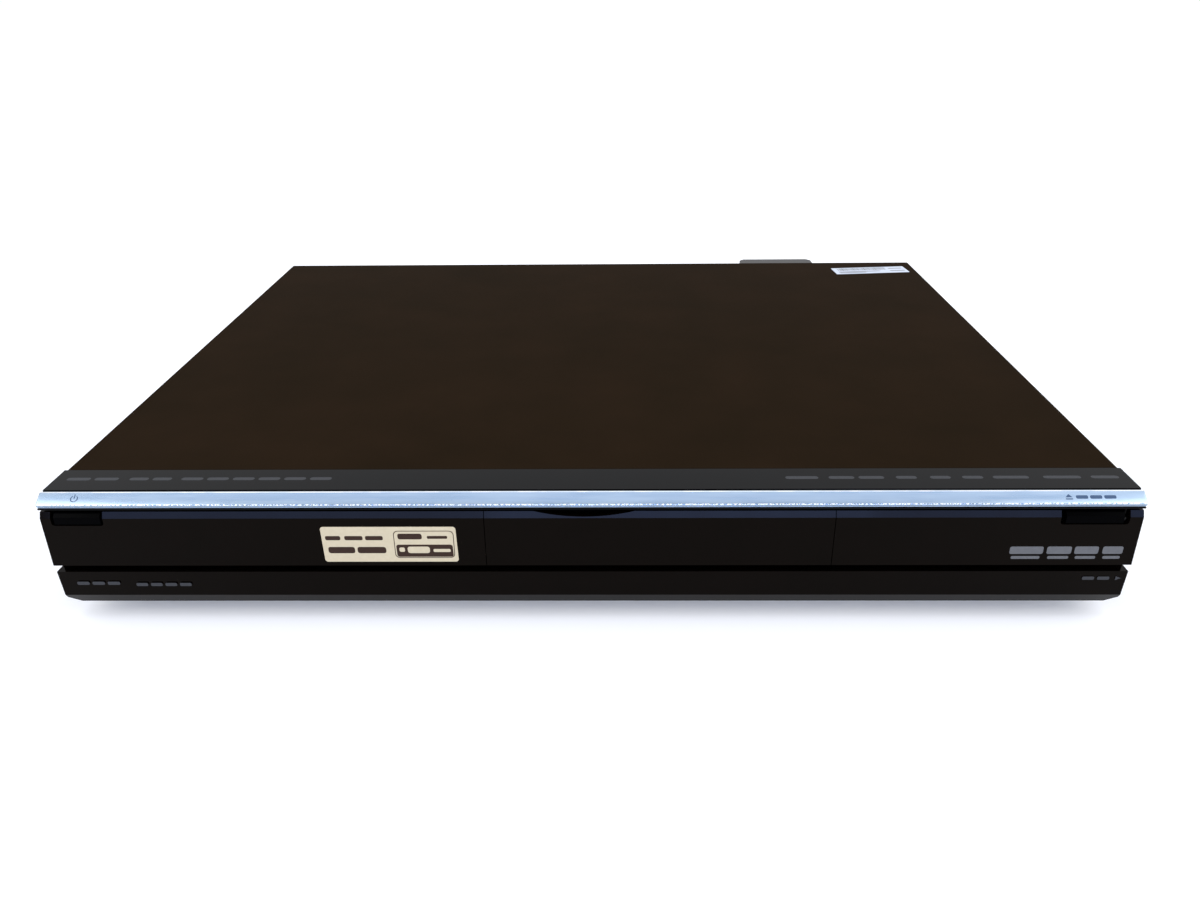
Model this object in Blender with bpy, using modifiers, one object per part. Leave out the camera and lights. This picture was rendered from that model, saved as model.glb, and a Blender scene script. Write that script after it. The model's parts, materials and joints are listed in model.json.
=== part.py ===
"""A slim disc and hard disk recorder, piece by piece: casing, doors, keys, disc loader, fan and boards.

Metres, +Z up, +X to the right of someone facing the front, which looks along -Y.
The origin is the bottom centre of the whole recorder, under its feet.
"""

import math

import bmesh
import bpy
from mathutils import Matrix, Vector

# Driving sizes of the whole recorder
BODY_WIDTH = 0.430
BODY_HEIGHT = 0.059
BODY_DEPTH = 0.3385
DUCT_REACH = 0.0125
FOOT_HEIGHT = 0.0075

# Walls and clearances that many pieces share
SHEET = 0.001
WALL = 0.002
SEAT_GAP = 0.0003
RUN_GAP = 0.0005
OVERRUN = 0.006

# Places that follow from the driving sizes
HALF_WIDTH = BODY_WIDTH / 2
FRONT_Y = -(BODY_DEPTH + DUCT_REACH) / 2
BACK_Y = FRONT_Y + BODY_DEPTH
DECK_Z = FOOT_HEIGHT + SHEET

# Trim strip, a slanted bar over the whole front edge
STRIP_DEPTH = 0.0061
STRIP_DROP = 0.0043
STRIP_LIP = 0.0003
STRIP_NOSE = 0.0016
STRIP_WALL = 0.0016
STRIP_TAPER = 0.0009

# Hard disk, whose width sets how far the loader stands from the right side
DISK_WIDTH = 0.1016
DISK_LENGTH = 0.147
DISK_HEIGHT = 0.0261
DISK_FRONT = 0.048
DISK_LIFT = 0.0062
DISK_SIDE_ROOM = 0.00615
BRACKET_SHEET = 0.0012
BRACKET_FOOT = 0.0060

# Disc loader, from which the tray, the doors and the drive take their places
LOADER_FRONT = 0.0118
LOADER_HALF_WIDTH = 0.0700
LOADER_HEIGHT = 0.0345
LOADER_REAR_ROOM = 0.0258
SPINDLE_BACK = 0.073

# Front frame's and cover's widths, and the loader's place across
FRAME_INSET = 0.0004
FRAME_HALF = HALF_WIDTH - FRAME_INSET
COVER_HALF = FRAME_HALF - RUN_GAP
INNER_HALF = COVER_HALF - SHEET - SEAT_GAP
LOADER_X = INNER_HALF - SHEET - DISK_WIDTH - 2 * DISK_SIDE_ROOM - LOADER_HALF_WIDTH

# Door panels: window, tray front and flap share one section
DOOR_TOP_DROP = 0.0067
DOOR_HEIGHT_SHARE = 0.408475
DOOR_HEIGHT = BODY_HEIGHT * DOOR_HEIGHT_SHARE
DOOR_THICK = 0.0028
DOOR_BEVEL_DEPTH = 0.0012
DOOR_BEVEL_DROP = 0.0025
DOOR_SEAM = 0.0003
TRAY_FRONT_HALF = 0.0684
WINDOW_END_X = LOADER_X - TRAY_FRONT_HALF
TRAY_FRONT_END_X = LOADER_X + TRAY_FRONT_HALF
DOOR_END_MARGIN = 0.0004
SCOOP_WIDTH = 0.0396
SCOOP_DEPTH = 0.0020
SCOOP_OFFSET = 0.0291
SCOOP_X = LOADER_X - SCOOP_OFFSET

# Front frame
BAND_DEPTH = 0.024
BAND_LINE = 0.0005
BAND_WALL = 0.0018
FRAME_LIP_SET_BACK = 0.0002
FRAME_LIP = 0.0006
FRAME_WALL_FRONT = 0.0080
SHELF_SET_BACK = 0.0060
SHELF_DROP = 0.0021
SHELF_THICK = 0.0010
CHEEK_WALL = 0.0016
CHEEK_TIP = 0.0062

# Lower panel under the doors
LOWER_GAP = 0.0035
LOWER_SET_BACK = 0.0009
LOWER_LEAN = 0.0011
LOWER_KNEE_HEIGHT = 0.0053
LOWER_CHIN_SET_BACK = 0.0055
LOWER_WALL = 0.0016
LOWER_CORNER_RUN = 0.0042
LOWER_CORNER_RISE = 0.0034

# Disc tray
DISC_RADIUS = 0.060
SMALL_DISC_RADIUS = 0.040
DISC_ROOM = 0.0006
TRAY_HALF_WIDTH = 0.0650
TRAY_BOTTOM_RISE = 0.0240
TRAY_THICK = 0.0070
TRAY_RECESS = 0.0030
TRAY_SMALL_RECESS = 0.0006
TRAY_FLOOR = 0.0022
TRAY_PLATE_LENGTH = 0.147
TRAY_ARM_LENGTH = 0.032
TRAY_ARM_WIDTH = 0.020
TRAY_SLOT_HALF = 0.0205
TRAY_RIM = 0.0040
TRAY_TRAVEL = 0.134

# Rack and the loading gear, module 1 mm teeth
TOOTH_MODULE = 0.001
GEAR_TEETH = 18
PRESSURE_ANGLE = math.radians(20)
TOOTH_BACKLASH = 0.0001
RACK_INSET = 0.0100
RACK_WALL = 0.0016
RACK_START = 0.020
RACK_HEIGHT = 0.0050
GEAR_BACK = 0.029
GEAR_HEIGHT = 0.0037
GEAR_BORE = 0.0017
GEAR_POST = 0.0014
GEAR_HUB = 0.0036
PULLEY_RADIUS = 0.0112
MOTOR_PULLEY_RADIUS = 0.0032
PULLEY_HEIGHT = 0.0034
PULLEY_GROOVE = 0.0011
PULLEY_LIFT = 0.0145
BELT_RADIUS = 0.0006
LOADING_MOTOR_RADIUS = 0.0080
LOADING_MOTOR_HEIGHT = 0.0108

# Traverse: the plate that carries the disc motor and the pickup
TRAVERSE_FRONT = 0.052
TRAVERSE_LENGTH = 0.118
TRAVERSE_LEFT = 0.040
TRAVERSE_RIGHT = 0.032
TRAVERSE_LIFT = 0.0105
TRAVERSE_THICK = 0.0030
HINGE_INSET = 0.0060
HINGE_BACK = TRAVERSE_FRONT + TRAVERSE_LENGTH - HINGE_INSET
LOADER_LENGTH = HINGE_BACK + LOADER_REAR_ROOM - LOADER_FRONT
HINGE_PIN = 0.0014
HINGE_POST = 0.0030
ROD_RADIUS = 0.0015
ROD_SPREAD = 0.026
ROD_LIFT = 0.0043
ROD_BLOCK = 0.0040
ROD_BLOCK_INSET = 0.0025
ROD_BLOCK_FRONT = TRAVERSE_FRONT + ROD_BLOCK_INSET
ROD_REAR_INSET = 0.0215
ROD_SPAN = TRAVERSE_LENGTH - ROD_BLOCK_INSET - ROD_REAR_INSET
ROD_BOSS = 0.0033
SCREW_SPREAD = 0.034
SCREW_RADIUS = 0.0015
SLED_MOTOR_RADIUS = 0.0038
SLED_MOTOR_LENGTH = 0.0110
DISC_MOTOR_RADIUS = 0.0130
DISC_MOTOR_HEIGHT = 0.0116
TURNTABLE_RADIUS = 0.0135
TURNTABLE_THICK = 0.0030
TURNTABLE_HUB = 0.0073
TURNTABLE_CONE = 0.0025
PICKUP_RADIUS = 0.030
SLED_HALF_WIDTH = 0.0195
SLED_FRONT = 0.0090
SLED_REAR = 0.0150
SLED_THICK = 0.0062
LENS_RADIUS = 0.0030

# Clamp over the disc
BRIDGE_HALF_LENGTH = 0.0190
BRIDGE_THICK = 0.0020
CLAMP_NECK = 0.0105
CLAMP_RADIUS = 0.0150
CLAMP_HOLE = 0.0120
CLAMP_FLANGE = 0.0016
CLAMP_BELOW = 0.0030

# Front flap with its sockets and small keys
FLAP_AXIS_BACK = 0.0032
FLAP_AXIS_RISE = 0.0020
FLAP_PIN = 0.0008
FLAP_EYE = 0.0015
FLAP_EYE_HOLE = 0.00098
FLAP_EYE_WIDTH = 0.0016
FLAP_LUG_WIDTH = 0.0014
FLAP_POCKET = 0.0032
FLAP_HINGE_INSET = 0.0100
BAY_FRONT = 0.0060
BAY_THICK = 0.0016
BAY_MARGIN = 0.0020
BAY_HEIGHT = 0.0176

# Keys
KEY_TRAVEL = 0.0010
POWER_KEY_INSET = 0.01475
POWER_KEY_X = -HALF_WIDTH + POWER_KEY_INSET
POWER_KEY_WIDTH = 0.0183
POWER_POCKET_WIDTH = 0.0206
EJECT_KEY_INSET = 0.0187
EJECT_KEY_X = HALF_WIDTH - EJECT_KEY_INSET
EJECT_KEY_WIDTH = 0.0222
EJECT_POCKET_WIDTH = 0.0264
KEY_POCKET_DEPTH = 0.0057
KEY_HEIGHT = 0.0047
KEY_SLANT = 0.0016
KEY_STEM_WIDTH = 0.0080
KEY_STEM_HEIGHT = 0.0024
KEY_SET_BACK = 0.0002
KEY_HEAD_LENGTH = 0.0045
SMALL_KEY_WIDTH = 0.0070
SMALL_KEY_HEIGHT = 0.0042
SMALL_KEY_PITCH = 0.0105
SMALL_KEY_COUNT = 4
SMALL_KEY_PROUD = 0.0012

# Front board and display
FRONT_BOARD_BACK = 0.0145
BOARD_THICK = 0.0016
DISPLAY_PLACE_SHARE = 0.45
DISPLAY_X = -FRAME_HALF + (WINDOW_END_X + FRAME_HALF) * DISPLAY_PLACE_SHARE
DISPLAY_WIDTH = 0.080
DISPLAY_HEIGHT = 0.0150
DISPLAY_DEPTH = 0.0060

# Cooling fan and its duct
FAN_PLACE_SHARE = 0.7872
FAN_X = -HALF_WIDTH + BODY_WIDTH * FAN_PLACE_SHARE
FAN_ROOM_BELOW = 0.0045
FAN_ROOM_ABOVE = 0.0050
FAN_SIZE = BODY_HEIGHT - SHEET - DECK_Z - FAN_ROOM_BELOW - FAN_ROOM_ABOVE
FAN_DEPTH = 0.0110
FAN_HUB_SHARE = 0.25
FAN_BLADE_REACH_SHARE = 0.445
FAN_BORE_SHARE = 0.465
FAN_HUB = FAN_SIZE * FAN_HUB_SHARE
FAN_BLADE_REACH = FAN_SIZE * FAN_BLADE_REACH_SHARE
FAN_BORE = FAN_SIZE * FAN_BORE_SHARE
FAN_BLADES = 7
DUCT_WIDTH = 0.0495
DUCT_CORNER = 0.0030
DUCT_TOP_DROP = 0.0006
DUCT_SLOTS = 6
DUCT_SLOT_SHARE = 0.55

# Sockets in the back
SOCKET_STAND_OUT = 0.0008
INLET_PLACE_SHARE = 0.0698
AERIAL_PLACE_SHARE = 0.1698
AV_PLACE_SHARE = 0.3372
OPTICAL_PLACE_SHARE = 0.4767
HDMI_PLACE_SHARE = 0.5512
LAN_PLACE_SHARE = 0.6349
INLET_X = -HALF_WIDTH + BODY_WIDTH * INLET_PLACE_SHARE
AERIAL_X = -HALF_WIDTH + BODY_WIDTH * AERIAL_PLACE_SHARE
AV_X = -HALF_WIDTH + BODY_WIDTH * AV_PLACE_SHARE
OPTICAL_X = -HALF_WIDTH + BODY_WIDTH * OPTICAL_PLACE_SHARE
HDMI_X = -HALF_WIDTH + BODY_WIDTH * HDMI_PLACE_SHARE
LAN_X = -HALF_WIDTH + BODY_WIDTH * LAN_PLACE_SHARE
SOCKET_DEPTH = 0.0130

# Boards
BOARD_LIFT = 0.0045
BOARD_SIDE_ROOM = 0.0078
BOARD_ROOM = 0.0098
POWER_BOARD_WIDTH = 0.082
POWER_BOARD_LENGTH = 0.190
POWER_BOARD_LEFT = -INNER_HALF + SHEET + BOARD_SIDE_ROOM
POWER_BOARD_RIGHT = POWER_BOARD_LEFT + POWER_BOARD_WIDTH
MAIN_BOARD_LENGTH = 0.112
MAIN_BOARD_LEFT = POWER_BOARD_RIGHT + BOARD_ROOM
MAIN_BOARD_RIGHT = FAN_X - FAN_SIZE / 2 - BOARD_ROOM

# Feet
FOOT_RADIUS = 0.0125
FOOT_INSET = 0.045
FOOT_X = HALF_WIDTH - FOOT_INSET
FOOT_FRONT_BACK = 0.040
FOOT_REAR_AHEAD = 0.045

COLLECTION_NAME = "disc_recorder"
CUTTER_COLLECTION_NAME = "cutters"


# Setting up

def clear_scene():
    for item in list(bpy.data.objects):
        bpy.data.objects.remove(item, do_unlink=True)
    for group in list(bpy.data.collections):
        bpy.data.collections.remove(group)


def make_collection(name):
    group = bpy.data.collections.new(name)
    bpy.context.scene.collection.children.link(group)
    return group


clear_scene()
PARTS = make_collection(COLLECTION_NAME)
CUTTERS = make_collection(CUTTER_COLLECTION_NAME)


def make_material(name, colour, roughness, metallic=0.0):
    material = bpy.data.materials.new(name)
    material.use_nodes = True
    shader = material.node_tree.nodes["Principled BSDF"]
    shader.inputs["Base Color"].default_value = (*colour, 1.0)
    shader.inputs["Roughness"].default_value = roughness
    shader.inputs["Metallic"].default_value = metallic
    return material


def gloss_black(name):
    return make_material(name, (0.010, 0.009, 0.009), 0.12)


def satin_black(name):
    return make_material(name, (0.020, 0.016, 0.012), 0.42)


def moulded_grey(name):
    return make_material(name, (0.10, 0.10, 0.10), 0.5)


def moulded_black(name):
    return make_material(name, (0.03, 0.03, 0.032), 0.5)


def plated_steel(name):
    return make_material(name, (0.55, 0.56, 0.57), 0.35, 1.0)


def turned_steel(name):
    return make_material(name, (0.62, 0.62, 0.64), 0.2, 1.0)


def brushed_aluminium(name):
    return make_material(name, (0.60, 0.64, 0.70), 0.28, 1.0)


def circuit_green(name):
    return make_material(name, (0.02, 0.10, 0.05), 0.45)


def soft_rubber(name):
    return make_material(name, (0.015, 0.015, 0.015), 0.8)


def white_nylon(name):
    return make_material(name, (0.62, 0.61, 0.57), 0.45)


# Solids that later become pieces or tools of a cut

def object_from(mesh, name, collection):
    piece = bpy.data.objects.new(name, mesh)
    collection.objects.link(piece)
    return piece


def mesh_from(bm, name):
    bmesh.ops.recalc_face_normals(bm, faces=bm.faces)
    mesh = bpy.data.meshes.new(name)
    bm.to_mesh(mesh)
    bm.free()
    return mesh


def add_box(bm, low, high):
    made = bmesh.ops.create_cube(bm, size=1)["verts"]
    size = [b - a for a, b in zip(low, high)]
    middle = [(a + b) / 2 for a, b in zip(low, high)]
    bmesh.ops.scale(bm, vec=size, verts=made)
    bmesh.ops.translate(bm, vec=middle, verts=made)


def add_rod(bm, start, direction, length, radius, sides, radius_end=None):
    """A cylinder or cone from start along a direction."""
    made = bmesh.ops.create_cone(
        bm,
        cap_ends=True,
        segments=sides,
        radius1=radius,
        radius2=radius if radius_end is None else radius_end,
        depth=length,
    )["verts"]
    turn = Vector((0, 0, 1)).rotation_difference(Vector(direction)).to_matrix()
    bmesh.ops.rotate(bm, verts=made, matrix=turn)
    bmesh.ops.translate(bm, verts=made, vec=Vector(start) + Vector(direction) * length / 2)


def boxes(name, corners, collection=None):
    """Separate boxes in one mesh; corners is a list of (low, high)."""
    bm = bmesh.new()
    for low, high in corners:
        add_box(bm, low, high)
    return object_from(mesh_from(bm, name), name, collection or CUTTERS)


def rods(name, runs, sides, collection=None):
    """Separate round bars in one mesh; runs is a list of (start, direction, length, radius)."""
    bm = bmesh.new()
    for start, direction, length, radius in runs:
        add_rod(bm, start, direction, length, radius, sides)
    return object_from(mesh_from(bm, name), name, collection or CUTTERS)


# Columns are where the outline's own X, Y and its thickness point
PLAN = Matrix(((1, 0, 0), (0, 1, 0), (0, 0, 1))).to_4x4()
SIDE = Matrix(((0, 0, 1), (1, 0, 0), (0, 1, 0))).to_4x4()
FACING = Matrix(((1, 0, 0), (0, 0, -1), (0, 1, 0))).to_4x4()


def outline_solid(name, outline, thickness, plane, centre, collection=None):
    """A flat outline given thickness, as a curve filled on both sides and then made a mesh."""
    curve = bpy.data.curves.new(name + "_outline", "CURVE")
    curve.dimensions = "2D"
    curve.fill_mode = "BOTH"
    curve.extrude = thickness / 2
    spline = curve.splines.new("POLY")
    spline.points.add(len(outline) - 1)
    for point, (across, up) in zip(spline.points, outline):
        point.co = (across, up, 0, 1)
    spline.use_cyclic_u = True
    source = bpy.data.objects.new(name + "_outline", curve)
    CUTTERS.objects.link(source)
    source.matrix_world = Matrix.Translation(Vector(centre)) @ plane
    return mesh_of_curve(source, name, collection or CUTTERS)


def mesh_of_curve(source, name, collection):
    """A curve's evaluated shape as a mesh object in the same place, with its caps welded."""
    bpy.context.view_layer.update()
    shape = bpy.data.meshes.new_from_object(source.evaluated_get(bpy.context.evaluated_depsgraph_get()))
    bm = bmesh.new()
    bm.from_mesh(shape)
    bmesh.ops.remove_doubles(bm, verts=bm.verts, dist=WELD_DISTANCE)
    bmesh.ops.recalc_face_normals(bm, faces=bm.faces)
    bm.to_mesh(shape)
    bm.free()
    shape.name = name
    piece = object_from(shape, name, collection)
    piece.matrix_world = source.matrix_world.copy()
    bpy.data.objects.remove(source, do_unlink=True)
    return piece


WELD_DISTANCE = 0.00001


def side_profile(name, outline, low_x, high_x, collection=None):
    """A section in (back, up) carried from low_x to high_x."""
    place = ((low_x + high_x) / 2, 0, 0)
    return outline_solid(name, outline, high_x - low_x, SIDE, place, collection)


def plan_plate(name, outline, low_z, high_z, collection=None):
    """An outline seen from above, between two heights."""
    place = (0, 0, (low_z + high_z) / 2)
    return outline_solid(name, outline, high_z - low_z, PLAN, place, collection)


def front_plate(name, outline, low_y, high_y, collection=None):
    """An outline seen from the front, between two depths."""
    place = (0, (low_y + high_y) / 2, 0)
    return outline_solid(name, outline, high_y - low_y, FACING, place, collection)


def turned(name, profile, axis_point, steps, direction=(0, 0, 1), collection=None):
    """A profile of (radius, height), outer side from top to bottom, spun round an axis."""
    mesh = bpy.data.meshes.new(name)
    closed = profile[0][0] > 0 and profile[-1][0] > 0
    points = [(radius, 0, height) for radius, height in profile]
    edges = [(i, i + 1) for i in range(len(points) - 1)]
    if closed:
        edges.append((len(points) - 1, 0))
    mesh.from_pydata(points, edges, [])
    piece = object_from(mesh, name, collection or PARTS)
    spin = piece.modifiers.new("Turn", "SCREW")
    spin.axis = "Z"
    spin.angle = math.tau
    spin.steps = steps
    spin.render_steps = steps
    spin.use_merge_vertices = True
    spin.merge_threshold = WELD_DISTANCE
    turn = Vector((0, 0, 1)).rotation_difference(Vector(direction)).to_matrix().to_4x4()
    piece.matrix_world = Matrix.Translation(Vector(axis_point)) @ turn
    return piece


def tool_from(piece):
    """Moves a solid among the cutters, where it shows as wire only."""
    for group in list(piece.users_collection):
        group.objects.unlink(piece)
    CUTTERS.objects.link(piece)
    piece.hide_render = True
    piece.display_type = "WIRE"
    return piece


def change(piece, operation, tool):
    step = piece.modifiers.new(operation.title(), "BOOLEAN")
    step.operation = operation
    step.solver = "EXACT"
    step.object = tool_from(tool)
    return piece


def cut(piece, *tools):
    for tool in tools:
        change(piece, "DIFFERENCE", tool)
    return piece


def join(piece, *tools):
    for tool in tools:
        change(piece, "UNION", tool)
    return piece


def finish_piece(piece, material, origin=None):
    """Gives a piece its material and its place among the parts, with its origin where it turns or slides."""
    for group in list(piece.users_collection):
        group.objects.unlink(piece)
    PARTS.objects.link(piece)
    if not piece.data.materials:
        piece.data.materials.append(material)
    if origin is not None:
        shift = piece.matrix_world.inverted() @ Matrix.Translation(Vector(origin))
        piece.data.transform(shift.inverted())
        piece.matrix_world = Matrix.Translation(Vector(origin))
    piece.data.shade_smooth()
    piece.data.set_sharp_from_angle(angle=SMOOTH_ANGLE)
    return piece


SMOOTH_ANGLE = math.radians(30)


def back(distance):
    """The depth of a place behind the front plane."""
    return FRONT_Y + distance


def arc(centre, radius, start, end, steps):
    """Points along an arc, both ends included; angles in radians."""
    turns = [start + (end - start) * i / steps for i in range(steps + 1)]
    return [(centre[0] + radius * math.cos(t), centre[1] + radius * math.sin(t)) for t in turns]


def rounded_rectangle(low, high, radius, steps=3):
    """An outline whose four corners are arcs, counter-clockwise from the lower right."""
    corners = (
        ((high[0] - radius, low[1] + radius), -math.pi / 2),
        ((high[0] - radius, high[1] - radius), 0),
        ((low[0] + radius, high[1] - radius), math.pi / 2),
        ((low[0] + radius, low[1] + radius), math.pi),
    )
    outline = []
    for centre, start in corners:
        outline += arc(centre, radius, start, start + math.pi / 2, steps)
    return outline


# Heights that several pieces meet at
DOOR_TOP = BODY_HEIGHT - DOOR_TOP_DROP
DOOR_BOTTOM = DOOR_TOP - DOOR_HEIGHT
LOWER_TOP = DOOR_BOTTOM - LOWER_GAP
SHELF_TOP = DOOR_BOTTOM - SHELF_DROP
STRIP_LOW = BODY_HEIGHT - STRIP_DROP
TRAY_BOTTOM = DECK_Z + TRAY_BOTTOM_RISE
TRAY_TOP = TRAY_BOTTOM + TRAY_THICK
COVER_FRONT = BAND_DEPTH + SEAT_GAP
POCKET_FLOOR = DOOR_TOP - KEY_POCKET_DEPTH
FRAME_WALL_BACK = FRAME_WALL_FRONT + WALL


# Casing

COVER_BEND = 0.0012
COVER_HEM_RISE = 0.0012
COVER_BEND_STEPS = 3
VENT_COUNT = 9
VENT_PITCH = 0.0090
VENT_WIDTH = 0.0032
VENT_HEIGHT = 0.0160
VENT_START = 0.070
VENT_DROP = 0.0160


def cover_outline(half, top, bottom, bend):
    """One half of the cover's section seen from the front, up one side and along the top to the middle."""
    side = arc((half - bend, top - bend), bend, 0, math.pi / 2, COVER_BEND_STEPS)
    return [(half, bottom), *side]


def make_top_cover():
    bottom = FOOT_HEIGHT + COVER_HEM_RISE
    outer = cover_outline(COVER_HALF, BODY_HEIGHT, bottom, COVER_BEND)
    inner = cover_outline(COVER_HALF - SHEET, BODY_HEIGHT - SHEET, bottom, COVER_BEND - SHEET / 2)
    outline = outer + [(-x, z) for x, z in reversed(outer)]
    outline += [(-x, z) for x, z in inner] + list(reversed(inner))
    cover = front_plate("top_cover", outline, back(COVER_FRONT), BACK_Y)
    vents = []
    for i in range(VENT_COUNT):
        y = back(VENT_START) + i * VENT_PITCH
        top = BODY_HEIGHT - VENT_DROP
        reach = COVER_HALF + OVERRUN
        vents.append(((-reach, y, top - VENT_HEIGHT), (-COVER_HALF + OVERRUN, y + VENT_WIDTH, top)))
        vents.append(((COVER_HALF - OVERRUN, y, top - VENT_HEIGHT), (reach, y + VENT_WIDTH, top)))
    cut(cover, boxes("cover_vents", vents))
    return finish_piece(cover, satin_black("painted_cover"))


BASE_FLANGE = 0.0120
BASE_VENT_COUNT = 7
BASE_VENT_PITCH = 0.0080
BASE_VENT_WIDTH = 0.0030
BASE_VENT_LENGTH = 0.060
BASE_VENT_SPAN = (BASE_VENT_COUNT - 1) * BASE_VENT_PITCH
BASE_VENT_X = INNER_HALF - SHEET - DISK_SIDE_ROOM - DISK_WIDTH / 2 - BASE_VENT_SPAN / 2
BASE_VENT_START = 0.075


def make_chassis_base():
    top = DECK_Z + BASE_FLANGE
    outline = [
        (-INNER_HALF, FOOT_HEIGHT),
        (INNER_HALF, FOOT_HEIGHT),
        (INNER_HALF, top),
        (INNER_HALF - SHEET, top),
        (INNER_HALF - SHEET, DECK_Z),
        (-INNER_HALF + SHEET, DECK_Z),
        (-INNER_HALF + SHEET, top),
        (-INNER_HALF, top),
    ]
    base = front_plate("chassis_base", outline, back(BAND_DEPTH + SEAT_GAP), BACK_Y - 2 * SHEET - SEAT_GAP)
    nose_half = FRAME_HALF - CHEEK_WALL - SEAT_GAP
    nose = ((-nose_half, back(FRAME_WALL_BACK + SEAT_GAP), FOOT_HEIGHT),
            (nose_half, back(BAND_DEPTH + WALL), DECK_Z))
    join(base, boxes("base_nose", [nose]))
    vents = []
    for i in range(BASE_VENT_COUNT):
        x = BASE_VENT_X + i * BASE_VENT_PITCH
        y = back(BASE_VENT_START)
        low = (x, y, FOOT_HEIGHT - OVERRUN)
        vents.append((low, (x + BASE_VENT_WIDTH, y + BASE_VENT_LENGTH, DECK_Z + OVERRUN)))
    cut(base, boxes("base_vents", vents))
    return finish_piece(base, plated_steel("plated_base"))


REAR_PANEL_DROP = 0.0004
SOCKET_CLEARANCE = 0.0004


def socket_cutters(y):
    """Holes in the rear panel, each round the socket that fills it."""
    low_y = y - OVERRUN
    holes = []
    for x, z, half_x, half_z in (
        (INLET_X, INLET_Z, INLET_HALF_X, INLET_HALF_Z),
        (LAN_X, LAN_Z, LAN_HALF_X, LAN_HALF_Z),
        (HDMI_X, HDMI_Z, HDMI_HALF_X, HDMI_HALF_Z),
        (OPTICAL_X, OPTICAL_Z, OPTICAL_HALF, OPTICAL_HALF),
    ):
        reach_x = half_x + SOCKET_CLEARANCE
        reach_z = half_z + SOCKET_CLEARANCE
        holes.append(((x - reach_x, low_y, z - reach_z), (x + reach_x, y + OVERRUN, z + reach_z)))
    return boxes("socket_holes", holes)


def make_rear_panel():
    low_y = BACK_Y - 2 * SHEET
    top = BODY_HEIGHT - SHEET - REAR_PANEL_DROP
    side = INNER_HALF - SHEET / 2
    panel = boxes("rear_panel", [((-side, low_y, DECK_Z + SEAT_GAP), (side, low_y + SHEET, top))])
    cut(panel, socket_cutters(low_y + SHEET / 2))
    jack_holes = []
    for x, z in jack_places():
        jack_holes.append(((x, low_y - OVERRUN, z), (0, 1, 0), 2 * OVERRUN, JACK_RADIUS + SOCKET_CLEARANCE))
    for x in aerial_places():
        jack_holes.append(((x, low_y - OVERRUN, AERIAL_Z), (0, 1, 0), 2 * OVERRUN,
                           AERIAL_RADIUS + SOCKET_CLEARANCE))
    cut(panel, rods("jack_holes", jack_holes, JACK_SIDES))
    fan_hole = [((FAN_X, low_y - OVERRUN, FAN_Z), (0, 1, 0), 2 * OVERRUN, FAN_BORE)]
    cut(panel, rods("fan_hole", fan_hole, FAN_SIDES))
    return finish_piece(panel, plated_steel("plated_rear_panel"))


FOOT_FLOOR_RADIUS_SHARE = 0.88
FOOT_RECESS_SHARE = 0.55
FOOT_RECESS = 0.0012
FOOT_STEPS = 24


def make_foot(name, x, y):
    top = FOOT_HEIGHT - SEAT_GAP
    floor_radius = FOOT_RADIUS * FOOT_FLOOR_RADIUS_SHARE
    recess_radius = FOOT_RADIUS * FOOT_RECESS_SHARE
    profile = [
        (0, top),
        (FOOT_RADIUS, top),
        (FOOT_RADIUS, top - FOOT_RECESS),
        (floor_radius, 0),
        (recess_radius, 0),
        (recess_radius, FOOT_RECESS),
        (0, FOOT_RECESS),
    ]
    foot = turned(name, profile, (x, y, 0), FOOT_STEPS)
    return finish_piece(foot, soft_rubber(name + "_rubber"))


def make_feet():
    front = back(FOOT_FRONT_BACK)
    rear = BACK_Y - FOOT_REAR_AHEAD
    places = {
        "foot_front_left": (-FOOT_X, front),
        "foot_front_right": (FOOT_X, front),
        "foot_rear_left": (-FOOT_X, rear),
        "foot_rear_right": (FOOT_X, rear),
    }
    for name, (x, y) in places.items():
        make_foot(name, x, y)


# Front: frame, strip, doors and lower panel

def strip_outline():
    """The slanted bar's section in (back, up)."""
    return [
        (back(0), STRIP_LOW),
        (back(0), STRIP_LOW - STRIP_LIP),
        (back(STRIP_NOSE), STRIP_LOW - STRIP_LIP),
        (back(STRIP_DEPTH), BODY_HEIGHT - STRIP_WALL),
        (back(STRIP_DEPTH), BODY_HEIGHT),
    ]


def make_trim_strip():
    strip = side_profile("trim_strip", strip_outline(), -HALF_WIDTH, HALF_WIDTH)
    taper_height = STRIP_DROP + OVERRUN
    tapers = []
    for side in (-1, 1):
        inner = side * (HALF_WIDTH - STRIP_TAPER)
        outer = side * (HALF_WIDTH + OVERRUN)
        edge = [(side * HALF_WIDTH, STRIP_LOW), (inner, BODY_HEIGHT), (inner, BODY_HEIGHT + OVERRUN),
                (outer, BODY_HEIGHT + OVERRUN), (outer, STRIP_LOW)]
        tapers.append(front_plate("strip_taper", edge, back(-OVERRUN), back(taper_height)))
    cut(strip, *tapers)
    return finish_piece(strip, brushed_aluminium("brushed_trim"))


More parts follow.
